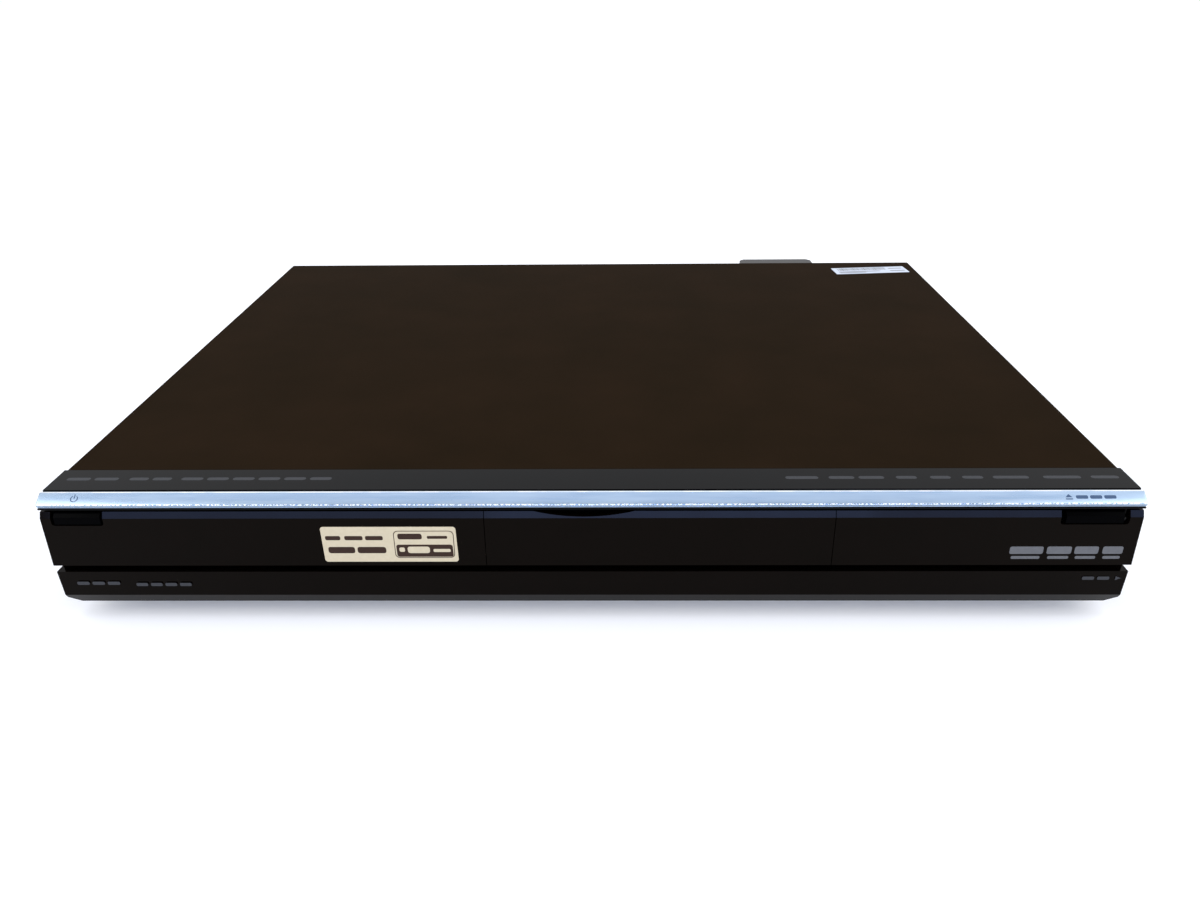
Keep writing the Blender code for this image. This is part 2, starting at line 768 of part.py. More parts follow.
def frame_outline():
    """Section of the front frame in (back, up): band, strip seat, lip, wall, shelf and lower wall."""
    seat_low = STRIP_LOW - STRIP_LIP - SEAT_GAP
    band_start = STRIP_DEPTH + BAND_LINE
    lip_bottom = seat_low - FRAME_LIP
    wall_foot = FOOT_HEIGHT + SHEET + SEAT_GAP
    return [
        (back(BAND_DEPTH), BODY_HEIGHT),
        (back(band_start), BODY_HEIGHT),
        (back(band_start), BODY_HEIGHT - STRIP_WALL - SEAT_GAP),
        (back(STRIP_DEPTH), BODY_HEIGHT - STRIP_WALL - SEAT_GAP),
        (back(STRIP_NOSE + SEAT_GAP), seat_low),
        (back(FRAME_LIP_SET_BACK), seat_low),
        (back(FRAME_LIP_SET_BACK), lip_bottom),
        (back(FRAME_WALL_FRONT), lip_bottom),
        (back(FRAME_WALL_FRONT), SHELF_TOP),
        (back(SHELF_SET_BACK), SHELF_TOP),
        (back(SHELF_SET_BACK), SHELF_TOP - SHELF_THICK),
        (back(FRAME_WALL_FRONT), SHELF_TOP - SHELF_THICK),
        (back(FRAME_WALL_FRONT), wall_foot),
        (back(FRAME_WALL_BACK), wall_foot),
        (back(FRAME_WALL_BACK), BODY_HEIGHT - BAND_WALL),
        (back(BAND_DEPTH), BODY_HEIGHT - BAND_WALL),
    ]


WINDOW_SEAT_INSET = 0.0012
TRAY_MOUTH_ROOM = 0.0014
BAY_MOUTH_INSET = 0.0012


def key_hole(name, x, width, room):
    """The way through the frame for a key's head and, behind it, its stem."""
    half = width / 2 + room
    low_z = POCKET_FLOOR - room
    head = ((x - half, back(0), low_z),
            (x + half, back(KEY_HEAD_LENGTH + KEY_TRAVEL + 2 * room), DOOR_TOP + room))
    stem_half = KEY_STEM_WIDTH / 2 + RUN_GAP
    stem_z = key_stem_z()
    stem_low = (x - stem_half, back(KEY_HEAD_LENGTH), stem_z - KEY_STEM_HEIGHT / 2 - RUN_GAP)
    stem_high = (x + stem_half, back(FRAME_WALL_BACK + OVERRUN), stem_z + KEY_STEM_HEIGHT / 2 + RUN_GAP)
    return boxes(name + "_head", [head]), boxes(name + "_stem", [(stem_low, stem_high)])


def key_stem_z():
    return DOOR_TOP - KEY_POCKET_DEPTH / 2


def make_front_frame():
    frame = side_profile("front_frame", frame_outline(), -FRAME_HALF, FRAME_HALF)
    cheek_low = FOOT_HEIGHT + COVER_HEM_RISE
    cheek_front = back(FRAME_WALL_FRONT + RUN_GAP)
    cheeks = []
    cheek_tips = []
    for side in (-1, 1):
        ends = sorted((side * FRAME_HALF, side * (FRAME_HALF - CHEEK_WALL)))
        cheeks.append(((ends[0], cheek_front, cheek_low),
                       (ends[1], back(BAND_DEPTH), BODY_HEIGHT - BAND_WALL / 2)))
        cheek_tips.append(((ends[0], back(CHEEK_TIP), SHELF_TOP - SHELF_THICK / 2),
                           (ends[1], cheek_front + WALL, DOOR_TOP + DOOR_TOP_DROP / 4)))
    join(frame, boxes("frame_cheeks", cheeks), boxes("frame_cheek_tips", cheek_tips))
    seat_low_x = -FRAME_HALF + WINDOW_SEAT_INSET
    seat_high_x = WINDOW_END_X - WINDOW_SEAT_INSET
    seat_top = DOOR_TOP - WINDOW_SEAT_INSET
    seat = ((seat_low_x, back(DOOR_THICK + SEAT_GAP), DOOR_BOTTOM + WINDOW_SEAT_INSET),
            (seat_high_x, back(FRAME_WALL_FRONT + WALL / 2), seat_top))
    join(frame, boxes("window_seat", [seat]))
    display_hole = ((DISPLAY_X - DISPLAY_WIDTH / 2, back(0), DISPLAY_Z - DISPLAY_HEIGHT / 2),
                    (DISPLAY_X + DISPLAY_WIDTH / 2, back(FRAME_WALL_BACK + OVERRUN),
                      DISPLAY_Z + DISPLAY_HEIGHT / 2))
    mouth_half = TRAY_HALF_WIDTH + TRAY_MOUTH_ROOM
    mouth = ((LOADER_X - mouth_half, back(0), TRAY_BOTTOM - RACK_HEIGHT - RUN_GAP),
             (LOADER_X + mouth_half, back(FRAME_WALL_BACK + OVERRUN), TRAY_TOP + TRAY_MOUTH_ROOM))
    bay_mouth = ((BAY_LEFT + BAY_MOUTH_INSET, back(0), BAY_BOTTOM + BAY_MOUTH_INSET),
                 (BAY_RIGHT - BAY_MOUTH_INSET, back(FRAME_WALL_BACK + OVERRUN), BAY_TOP - BAY_MOUTH_INSET))
    cut(frame, boxes("frame_windows", [display_hole, mouth, bay_mouth]))
    cut(frame, *key_hole("power_hole", POWER_KEY_X, POWER_POCKET_WIDTH, 0))
    stem_half = KEY_STEM_WIDTH / 2 + RUN_GAP
    stem_reach = KEY_STEM_HEIGHT / 2 + RUN_GAP
    eject_stem = ((EJECT_KEY_X - stem_half, back(BAY_FRONT), key_stem_z() - stem_reach),
                  (EJECT_KEY_X + stem_half, back(FRAME_WALL_BACK + OVERRUN), key_stem_z() + stem_reach))
    cut(frame, boxes("eject_stem_hole", [eject_stem]))
    return finish_piece(frame, gloss_black("gloss_frame"))


def door_outline():
    return [
        (back(DOOR_BEVEL_DEPTH), DOOR_TOP),
        (back(0), DOOR_TOP - DOOR_BEVEL_DROP),
        (back(0), DOOR_BOTTOM),
        (back(DOOR_THICK), DOOR_BOTTOM),
        (back(DOOR_THICK), DOOR_TOP),
    ]


def door_panel(name, low_x, high_x):
    return side_profile(name, door_outline(), low_x, high_x)


POCKET_CORNER = 0.0012


def key_pocket(name, x, width):
    """A pocket for a key, open at the door's top, with rounded lower corners."""
    low = (x - width / 2, POCKET_FLOOR)
    high = (x + width / 2, DOOR_TOP + OVERRUN)
    outline = rounded_rectangle(low, high, POCKET_CORNER)
    return front_plate(name, outline, back(-OVERRUN), back(DOOR_THICK + OVERRUN))


def make_display_window():
    low_x = -HALF_WIDTH + DOOR_END_MARGIN
    window = door_panel("display_window", low_x, WINDOW_END_X)
    cut(window, key_pocket("power_pocket", POWER_KEY_X, POWER_POCKET_WIDTH))
    return finish_piece(window, gloss_black("smoked_window"))


SCOOP_STEPS = 12


def scoop_cutter():
    """A shallow arc under the tray front's top edge, for a fingertip."""
    half = SCOOP_WIDTH / 2
    radius = (half * half + SCOOP_DEPTH * SCOOP_DEPTH) / (2 * SCOOP_DEPTH)
    centre = (SCOOP_X, DOOR_TOP - SCOOP_DEPTH + radius)
    spread = math.asin(half / radius)
    low = arc(centre, radius, -math.pi / 2 - spread, -math.pi / 2 + spread, SCOOP_STEPS)
    outline = low + [(SCOOP_X + half, DOOR_TOP + OVERRUN), (SCOOP_X - half, DOOR_TOP + OVERRUN)]
    return front_plate("finger_scoop", outline, back(-OVERRUN), back(DOOR_THICK + OVERRUN))


def make_tray_front():
    panel = door_panel("tray_front", WINDOW_END_X + DOOR_SEAM, TRAY_FRONT_END_X)
    cut(panel, scoop_cutter())
    return finish_piece(panel, gloss_black("gloss_tray_front"))


FLAP_SIDES = 12


def flap_axis():
    return back(FLAP_AXIS_BACK), DOOR_BOTTOM + FLAP_AXIS_RISE


def flap_hinge_places():
    """Where the two hinges stand along the flap."""
    left = TRAY_FRONT_END_X + DOOR_SEAM + FLAP_HINGE_INSET
    right = HALF_WIDTH - DOOR_END_MARGIN - FLAP_HINGE_INSET
    return left, right


def make_flap():
    low_x = TRAY_FRONT_END_X + DOOR_SEAM
    flap = door_panel("front_flap", low_x, HALF_WIDTH - DOOR_END_MARGIN)
    axis_y, axis_z = flap_axis()
    eye_reach = FLAP_EYE + RUN_GAP
    pockets = []
    lugs = []
    pins = []
    for x in flap_hinge_places():
        half = FLAP_POCKET / 2
        pockets.append(((x - half, axis_y - eye_reach, DOOR_BOTTOM - OVERRUN),
                        (x + half, axis_y + OVERRUN, axis_z + eye_reach)))
        for side in (-1, 1):
            near = x + side * half
            far = x + side * (half + FLAP_LUG_WIDTH)
            low = (min(near, far), back(DOOR_THICK / 2), axis_z - FLAP_PIN * 2)
            high = (max(near, far), axis_y + FLAP_PIN * 2, axis_z + FLAP_PIN * 2)
            lugs.append((low, high))
        reach = half + FLAP_LUG_WIDTH / 2
        pins.append(((x - reach, axis_y, axis_z), (1, 0, 0), 2 * reach, FLAP_PIN))
    cut(flap, boxes("flap_hinge_pockets", pockets))
    join(flap, boxes("flap_lugs", lugs), rods("flap_pins", pins, FLAP_SIDES))
    cut(flap, key_pocket("eject_pocket", EJECT_KEY_X, EJECT_POCKET_WIDTH))
    return finish_piece(flap, gloss_black("gloss_flap"), (0, axis_y, axis_z))


def make_lower_panel():
    knee_z = FOOT_HEIGHT + LOWER_KNEE_HEIGHT
    rear = FRAME_WALL_FRONT - SEAT_GAP
    outline = [
        (back(rear), LOWER_TOP),
        (back(LOWER_SET_BACK), LOWER_TOP),
        (back(LOWER_SET_BACK + LOWER_LEAN), knee_z),
        (back(LOWER_CHIN_SET_BACK), FOOT_HEIGHT),
        (back(rear), FOOT_HEIGHT),
    ]
    half = HALF_WIDTH - DOOR_END_MARGIN
    panel = side_profile("lower_panel", outline, -half, half)
    pocket = [
        (back(rear + OVERRUN), LOWER_TOP - LOWER_WALL),
        (back(LOWER_SET_BACK + LOWER_WALL), LOWER_TOP - LOWER_WALL),
        (back(LOWER_SET_BACK + LOWER_LEAN + LOWER_WALL), knee_z + LOWER_WALL / 2),
        (back(LOWER_CHIN_SET_BACK + LOWER_WALL / 2), FOOT_HEIGHT + LOWER_WALL),
        (back(rear + OVERRUN), FOOT_HEIGHT + LOWER_WALL),
    ]
    inner = half - LOWER_CORNER_RUN - LOWER_WALL
    cut(panel, side_profile("lower_pocket", pocket, -inner, inner))
    corners = []
    for side in (-1, 1):
        corner = [
            (side * (half + OVERRUN), FOOT_HEIGHT + LOWER_CORNER_RISE),
            (side * half, FOOT_HEIGHT + LOWER_CORNER_RISE),
            (side * (half - LOWER_CORNER_RUN), FOOT_HEIGHT),
            (side * (half - LOWER_CORNER_RUN), FOOT_HEIGHT - OVERRUN),
            (side * (half + OVERRUN), FOOT_HEIGHT - OVERRUN),
        ]
        corners.append(front_plate("lower_corner", corner, back(-OVERRUN), back(rear + OVERRUN)))
    cut(panel, *corners)
    return finish_piece(panel, gloss_black("gloss_lower_panel"))


# Control bay behind the flap

BAY_LEFT = TRAY_FRONT_END_X + BAY_MARGIN
BAY_RIGHT = FRAME_HALF - CHEEK_WALL - SEAT_GAP
BAY_BOTTOM = DOOR_BOTTOM + SEAT_GAP
BAY_TOP = BAY_BOTTOM + BAY_HEIGHT
BAY_KEYS_INSET = 0.0150
BAY_KEYS_RISE = 0.0088
CARD_STEP = 0.0535
CARD_RISE = 0.0130
BAY_KEYS_X = BAY_LEFT + BAY_KEYS_INSET
BAY_KEYS_Z = BAY_BOTTOM + BAY_KEYS_RISE
CARD_X = BAY_KEYS_X + CARD_STEP
CARD_Z = BAY_BOTTOM + CARD_RISE
CARD_WIDTH = 0.0248
CARD_HEIGHT = 0.0028
CARD_DEPTH = 0.0240
USB_STEP = 0.0290
USB_RISE = 0.0095
USB_X = CARD_X + USB_STEP
USB_Z = BAY_BOTTOM + USB_RISE
USB_WIDTH = 0.0131
USB_HEIGHT = 0.0056
USB_DEPTH = 0.0140
USB_SHELL = 0.0004
FRONT_JACK_RISE = 0.0056
FRONT_JACK_Z = BAY_BOTTOM + FRONT_JACK_RISE
FRONT_JACK_PITCH = 0.0122
FRONT_JACK_COUNT = 3
FRONT_JACK_DEPTH = 0.0120
JACK_RADIUS = 0.0042
JACK_BORE = 0.0016
JACK_SIDES = 16
CARD_SHELL = 0.0008
BAY_SOCKET_PROUD = 0.0004


def front_jack_places():
    return [CARD_X + (i - 1) * FRONT_JACK_PITCH for i in range(FRONT_JACK_COUNT)]


def small_key_places():
    return [BAY_KEYS_X + i * SMALL_KEY_PITCH for i in range(SMALL_KEY_COUNT)]


def make_control_bay():
    front = back(BAY_FRONT)
    rear = back(BAY_FRONT + BAY_THICK)
    bay = boxes("control_bay", [((BAY_LEFT, front, BAY_BOTTOM), (BAY_RIGHT, rear, BAY_TOP))])
    axis_y, axis_z = flap_axis()
    eyes = []
    stalks = []
    holes = []
    for x in flap_hinge_places():
        half = FLAP_EYE_WIDTH / 2
        eyes.append(((x - half, axis_y, axis_z), (1, 0, 0), FLAP_EYE_WIDTH, FLAP_EYE))
        stalks.append(((x - half, axis_y, axis_z - FLAP_EYE),
                       (x + half, front + BAY_THICK / 2, axis_z + FLAP_EYE)))
        holes.append(((x - FLAP_EYE_WIDTH, axis_y, axis_z), (1, 0, 0), 2 * FLAP_EYE_WIDTH, FLAP_EYE_HOLE))
    join(bay, boxes("flap_stalks", stalks), rods("flap_eyes", eyes, FLAP_SIDES))
    cut(bay, rods("flap_eye_holes", holes, FLAP_SIDES))
    openings = []
    for x in small_key_places():
        reach_x = SMALL_KEY_WIDTH / 2 + RUN_GAP
        reach_z = SMALL_KEY_HEIGHT / 2 + RUN_GAP
        openings.append((x, BAY_KEYS_Z, reach_x, reach_z))
    openings.append((CARD_X, CARD_Z, CARD_WIDTH / 2 + CARD_SHELL + SEAT_GAP,
                     CARD_HEIGHT / 2 + CARD_SHELL + SEAT_GAP))
    openings.append((USB_X, USB_Z, USB_WIDTH / 2 + SEAT_GAP, USB_HEIGHT / 2 + SEAT_GAP))
    corners = [((x - a, front - OVERRUN / 2, z - b), (x + a, rear + OVERRUN, z + b)) for x, z, a,
               b in openings]
    cut(bay, boxes("bay_openings", corners))
    stem_half = KEY_STEM_WIDTH / 2 + RUN_GAP
    stem_low = key_stem_z() - KEY_STEM_HEIGHT / 2 - RUN_GAP
    if stem_low < BAY_TOP:
        notch = ((EJECT_KEY_X - stem_half, front - OVERRUN / 2, stem_low),
                 (EJECT_KEY_X + stem_half, rear + OVERRUN, BAY_TOP + OVERRUN))
        cut(bay, boxes("eject_stem_notch", [notch]))
    reach = JACK_RADIUS + SEAT_GAP
    jack_holes = [((x, front - OVERRUN / 2, FRONT_JACK_Z), (0, 1, 0), 2 * OVERRUN, reach)
                  for x in front_jack_places()]
    cut(bay, rods("bay_jack_holes", jack_holes, JACK_SIDES))
    return finish_piece(bay, moulded_black("moulded_bay"))


def make_card_slot():
    front = back(BAY_FRONT - BAY_SOCKET_PROUD)
    half_x = CARD_WIDTH / 2 + CARD_SHELL
    half_z = CARD_HEIGHT / 2 + CARD_SHELL
    low = (CARD_X - half_x, front, CARD_Z - half_z)
    slot = boxes("card_slot", [(low, (CARD_X + half_x, front + CARD_DEPTH, CARD_Z + half_z))])
    mouth_low = (CARD_X - CARD_WIDTH / 2, front - OVERRUN, CARD_Z - CARD_HEIGHT / 2)
    mouth_high = (CARD_X + CARD_WIDTH / 2, front + CARD_DEPTH - CARD_SHELL, CARD_Z + CARD_HEIGHT / 2)
    cut(slot, boxes("card_mouth", [(mouth_low, mouth_high)]))
    return finish_piece(slot, plated_steel("plated_card_slot"))


USB_TONGUE_SHARE = 0.36


def make_usb_socket():
    front = back(BAY_FRONT - BAY_SOCKET_PROUD)
    half_x = USB_WIDTH / 2
    half_z = USB_HEIGHT / 2
    end = front + USB_DEPTH
    socket = boxes("usb_socket",
                   [((USB_X - half_x, front, USB_Z - half_z), (USB_X + half_x, end, USB_Z + half_z))])
    inner_x = half_x - USB_SHELL
    inner_z = half_z - USB_SHELL
    mouth = ((USB_X - inner_x, front - OVERRUN, USB_Z - inner_z),
             (USB_X + inner_x, end - WALL, USB_Z + inner_z))
    cut(socket, boxes("usb_mouth", [mouth]))
    tongue_x = inner_x - WALL / 2
    tongue_low = (USB_X - tongue_x, front + WALL, USB_Z)
    tongue_high = (USB_X + tongue_x, end - WALL / 2, USB_Z + USB_HEIGHT * USB_TONGUE_SHARE)
    join(socket, boxes("usb_tongue", [(tongue_low, tongue_high)]))
    return finish_piece(socket, plated_steel("plated_usb"))


FRONT_JACK_BODY = 0.0054
FRONT_JACK_BODY_BACK = 0.0102


def make_front_av_jacks():
    """Three round jacks on one moulded body behind the bay."""
    places = front_jack_places()
    body_front = back(FRONT_JACK_BODY_BACK)
    low = (places[0] - FRONT_JACK_BODY, body_front, FRONT_JACK_Z - FRONT_JACK_BODY + RUN_GAP)
    high = (places[-1] + FRONT_JACK_BODY, body_front + FRONT_JACK_DEPTH,
            FRONT_JACK_Z + FRONT_JACK_BODY - WALL / 2)
    block = boxes("front_av_jacks", [(low, high)])
    front = back(BAY_FRONT - BAY_SOCKET_PROUD)
    barrels = [((x, front, FRONT_JACK_Z), (0, 1, 0), body_front - front + WALL, JACK_RADIUS) for x in places]
    bores = [((x, front - OVERRUN, FRONT_JACK_Z), (0, 1, 0), OVERRUN + FRONT_JACK_DEPTH, JACK_BORE)
             for x in places]
    join(block, rods("front_barrels", barrels, JACK_SIDES))
    cut(block, rods("front_bores", bores, JACK_SIDES // 2))
    return finish_piece(block, moulded_black("moulded_front_jacks"))


# Keys


def large_key(name, x, width):
    """A head with a slanted top face, and a stem that reaches the switch behind."""
    face = back(KEY_SET_BACK)
    rear = back(KEY_HEAD_LENGTH)
    top = DOOR_TOP - RUN_GAP
    bottom = top - KEY_HEIGHT
    outline = [
        (face + KEY_SLANT, top),
        (face, top - KEY_SLANT),
        (face, bottom),
        (rear, bottom),
        (rear, top),
    ]
    key = side_profile(name, outline, x - width / 2, x + width / 2)
    z = key_stem_z()
    stem_low = (x - KEY_STEM_WIDTH / 2, rear - WALL / 2, z - KEY_STEM_HEIGHT / 2)
    stem_high = (x + KEY_STEM_WIDTH / 2, back(FRONT_BOARD_BACK - SWITCH_DEPTH - SEAT_GAP - KEY_TRAVEL),
                 z + KEY_STEM_HEIGHT / 2)
    join(key, boxes(name + "_stem", [(stem_low, stem_high)]))
    return finish_piece(key, gloss_black(name + "_gloss"), (x, face, z))


SWITCH_DEPTH = 0.0012
SMALL_KEY_NAMES = ("channel_down_key", "channel_up_key", "stop_key", "play_key")
SMALL_KEY_FLANGE = 0.0008
SMALL_KEY_CORNER = 0.0010


def small_key(name, x):
    """A rounded cap with a flange behind the bay's face that keeps it in."""
    face = back(BAY_FRONT - SMALL_KEY_PROUD)
    half_x = SMALL_KEY_WIDTH / 2
    half_z = SMALL_KEY_HEIGHT / 2
    rear = back(BAY_FRONT + BAY_THICK + SEAT_GAP)
    low = (x - half_x, BAY_KEYS_Z - half_z)
    high = (x + half_x, BAY_KEYS_Z + half_z)
    key = front_plate(name, rounded_rectangle(low, high, SMALL_KEY_CORNER), face, rear + WALL / 2)
    reach_x = half_x + RUN_GAP + SMALL_KEY_FLANGE
    reach_z = half_z + RUN_GAP + SMALL_KEY_FLANGE
    flange_low = (x - reach_x, rear, BAY_KEYS_Z - reach_z)
    flange_high = (x + reach_x, rear + SMALL_KEY_FLANGE, BAY_KEYS_Z + reach_z)
    stem_end = back(FRONT_BOARD_BACK - SWITCH_DEPTH - SEAT_GAP - KEY_TRAVEL)
    stem_low = (x - WALL / 2, rear, BAY_KEYS_Z - WALL / 2)
    stem_high = (x + WALL / 2, stem_end, BAY_KEYS_Z + WALL / 2)
    join(key, boxes(name + "_flange", [(flange_low, flange_high)]),
         boxes(name + "_stem", [(stem_low, stem_high)]))
    return finish_piece(key, moulded_black(name + "_moulded"), (x, face, BAY_KEYS_Z))


# Boards behind the front

DISPLAY_RISE_SHARE = 0.42
DISPLAY_Z = DOOR_BOTTOM + DOOR_HEIGHT * DISPLAY_RISE_SHARE
FRONT_BOARD_MARGIN = 0.0040
FRONT_BOARD_TOP_DROP = 0.0040


def board_ends(side):
    """Left and right ends of the front board's two halves, on either side of the loader."""
    if side < 0:
        return -INNER_HALF + FRONT_BOARD_MARGIN, LOADER_X - LOADER_HALF_WIDTH - FRONT_BOARD_MARGIN
    return LOADER_X + LOADER_HALF_WIDTH + FRONT_BOARD_MARGIN, INNER_HALF - FRONT_BOARD_MARGIN


def make_front_board():
    """The board behind the window: display and power switch."""
    low_x, high_x = board_ends(-1)
    front = back(FRONT_BOARD_BACK)
    top = BODY_HEIGHT - BAND_WALL - FRONT_BOARD_TOP_DROP
    board = boxes("front_board", [((low_x, front, DECK_Z + SEAT_GAP), (high_x, front + BOARD_THICK, top))])
    switch = switch_box(POWER_KEY_X, key_stem_z())
    join(board, boxes("power_switch", [switch]))
    return finish_piece(board, circuit_green("front_board_green"))


SWITCH_HALF = 0.0030
SWITCH_SMALL_HALF = 0.0024


def switch_box(x, z, half=SWITCH_HALF):
    front = back(FRONT_BOARD_BACK)
    return ((x - half, front - SWITCH_DEPTH, z - half), (x + half, front + BOARD_THICK / 2, z + half))


JACK_CUT_ROOM = 0.0006


def make_key_board():
    """The board behind the flap: eject and small-key switches, cut out round the sockets."""
    low_x, high_x = board_ends(1)
    front = back(FRONT_BOARD_BACK)
    top = BODY_HEIGHT - BAND_WALL - FRONT_BOARD_TOP_DROP
    board = boxes("key_board", [((low_x, front, DECK_Z + SEAT_GAP), (high_x, front + BOARD_THICK, top))])
    room = JACK_CUT_ROOM
    places = front_jack_places()
    card_x = CARD_WIDTH / 2 + CARD_SHELL + room
    card_z = CARD_HEIGHT / 2 + CARD_SHELL + room
    card = ((CARD_X - card_x, front - OVERRUN, CARD_Z - card_z),
            (CARD_X + card_x, front + OVERRUN, CARD_Z + card_z))
    usb_x = USB_WIDTH / 2 + room
    usb_z = USB_HEIGHT / 2 + room
    usb = ((USB_X - usb_x, front - OVERRUN, USB_Z - usb_z), (USB_X + usb_x, front + OVERRUN, USB_Z + usb_z))
    jacks = ((places[0] - FRONT_JACK_BODY - room, front - OVERRUN, FRONT_JACK_Z - FRONT_JACK_BODY - room),
             (places[-1] + FRONT_JACK_BODY + room, front + OVERRUN, FRONT_JACK_Z + FRONT_JACK_BODY - room))
    cut(board, boxes("card_cut", [card]), boxes("usb_cut", [usb]), boxes("jack_cut", [jacks]))
    switches = [switch_box(x, BAY_KEYS_Z, SWITCH_SMALL_HALF) for x in small_key_places()]
    switches.append(switch_box(EJECT_KEY_X, key_stem_z()))
    join(board, boxes("key_switches", switches))
    return finish_piece(board, circuit_green("key_board_green"))


def make_display_tube():
    half_x = DISPLAY_WIDTH / 2 - RUN_GAP
    half_z = DISPLAY_HEIGHT / 2 - RUN_GAP
    rear = back(FRONT_BOARD_BACK - SEAT_GAP)
    low = (DISPLAY_X - half_x, rear - DISPLAY_DEPTH, DISPLAY_Z - half_z)
    tube = boxes("display_tube", [(low, (DISPLAY_X + half_x, rear, DISPLAY_Z + half_z))])
    return finish_piece(tube, make_material("display_glass", (0.02, 0.03, 0.035), 0.08))


# Disc loader

def loader_floor():
    return DECK_Z + SEAT_GAP


def gear_centre():
    pitch_radius = TOOTH_MODULE * GEAR_TEETH / 2
    return rack_pitch_x() + pitch_radius, back(GEAR_BACK)


def rack_pitch_x():
    return LOADER_X - TRAY_HALF_WIDTH + RACK_INSET


def loading_motor_centre():
    return LOADER_X, back(GEAR_BACK)


LOADER_SILL = 0.0170
LEDGE_WIDTH = 0.0060
LEDGE_THICK = 0.0020
LOADER_WELL_HALF = TRAVERSE_LEFT
LOADER_WELL_ROOM = 0.0015
LOADER_WELL_FRONT = TRAVERSE_FRONT - LOADER_WELL_ROOM
LOADER_WELL_REAR_ROOM = 0.0090
LOADER_WELL_LENGTH = HINGE_BACK - LOADER_WELL_REAR_ROOM - LOADER_WELL_FRONT
POST_HALF = 0.0036
POST_SIDES = 12
GEAR_POST_TOP_GAP = 0.0008


def hinge_axis():
    return back(HINGE_BACK), DECK_Z + TRAVERSE_LIFT + TRAVERSE_THICK / 2


def make_loader_chassis():
    floor = loader_floor()
    top = floor + LOADER_HEIGHT
    low_x = LOADER_X - LOADER_HALF_WIDTH
    high_x = LOADER_X + LOADER_HALF_WIDTH
    front = back(LOADER_FRONT)
    rear = front + LOADER_LENGTH
    loader = boxes("loader_chassis", [((low_x, front, floor), (high_x, rear, top))])
    inside = ((low_x + WALL, front + WALL, floor + WALL), (high_x - WALL, rear - WALL, top + OVERRUN))
    cut(loader, boxes("loader_inside", [inside]))
    mouth = ((low_x + WALL, front - OVERRUN, floor + LOADER_SILL),
             (high_x - WALL, front + WALL + OVERRUN, top + OVERRUN))
    cut(loader, boxes("loader_mouth", [mouth]))
    well_low = (LOADER_X - LOADER_WELL_HALF, back(LOADER_WELL_FRONT), floor - OVERRUN)
    well_high = (LOADER_X + LOADER_WELL_HALF, back(LOADER_WELL_FRONT) + LOADER_WELL_LENGTH,
                 floor + WALL + OVERRUN / 2)
    cut(loader, boxes("loader_well", [(well_low, well_high)]))
    ledge_top = TRAY_BOTTOM - SEAT_GAP
    ledges = []
    for side in (-1, 1):
        near = LOADER_X + side * (LOADER_HALF_WIDTH - WALL / 2)
        far = LOADER_X + side * (LOADER_HALF_WIDTH - WALL - LEDGE_WIDTH)
        ledges.append(((min(near, far), front + WALL, ledge_top - LEDGE_THICK),
                       (max(near, far), rear - WALL / 2, ledge_top)))
    join(loader, boxes("tray_ledges", ledges))
    posts = []
    holes = []
    axis_y, axis_z = hinge_axis()
    for x in hinge_posts():
        posts.append(((x - HINGE_POST / 2, axis_y - POST_HALF, floor + WALL / 2),
                      (x + HINGE_POST / 2, axis_y + POST_HALF, axis_z + POST_HALF)))
        holes.append(((x - HINGE_POST, axis_y, axis_z), (1, 0, 0), 2 * HINGE_POST, HINGE_PIN + SEAT_GAP))
    join(loader, boxes("hinge_posts", posts))
    cut(loader, rods("hinge_holes", holes, POST_SIDES))
    gear_x, gear_y = gear_centre()
    post_top = TRAY_BOTTOM - GEAR_POST_TOP_GAP
    base_z = floor + WALL / 2
    join(loader,
         rods("gear_post", [((gear_x, gear_y, base_z), (0, 0, 1), post_top - base_z, GEAR_POST)], POST_SIDES))
    return finish_piece(loader, moulded_black("moulded_loader"))


def hinge_posts():
    """Left and right posts that carry the traverse's pins."""
    left = LOADER_X - TRAVERSE_LEFT - RUN_GAP - HINGE_POST / 2
    right = LOADER_X + TRAVERSE_RIGHT + RUN_GAP + HINGE_POST / 2
    return left, right


def tray_outline():
    """The tray from above: plate with a slot that opens to the rear, and an arm on each side."""
    front = back(DOOR_THICK + SEAT_GAP)
    rear = front + TRAY_PLATE_LENGTH
    arm_end = rear + TRAY_ARM_LENGTH
    left = LOADER_X - TRAY_HALF_WIDTH
    right = LOADER_X + TRAY_HALF_WIDTH
    centre = (LOADER_X, back(SPINDLE_BACK))
    slot = arc(centre, TRAY_SLOT_HALF, 0, -math.pi, SLOT_STEPS)
    return [
        (left, front),
        (right, front),
        (right, arm_end),
        (right - TRAY_ARM_WIDTH, arm_end),
        (right - TRAY_ARM_WIDTH, rear),
        (LOADER_X + TRAY_SLOT_HALF, rear),
        *slot,
        (LOADER_X - TRAY_SLOT_HALF, rear),
        (left + TRAY_ARM_WIDTH, rear),
        (left + TRAY_ARM_WIDTH, arm_end),
        (left, arm_end),
    ]


SLOT_STEPS = 16
RECESS_SIDES = 72


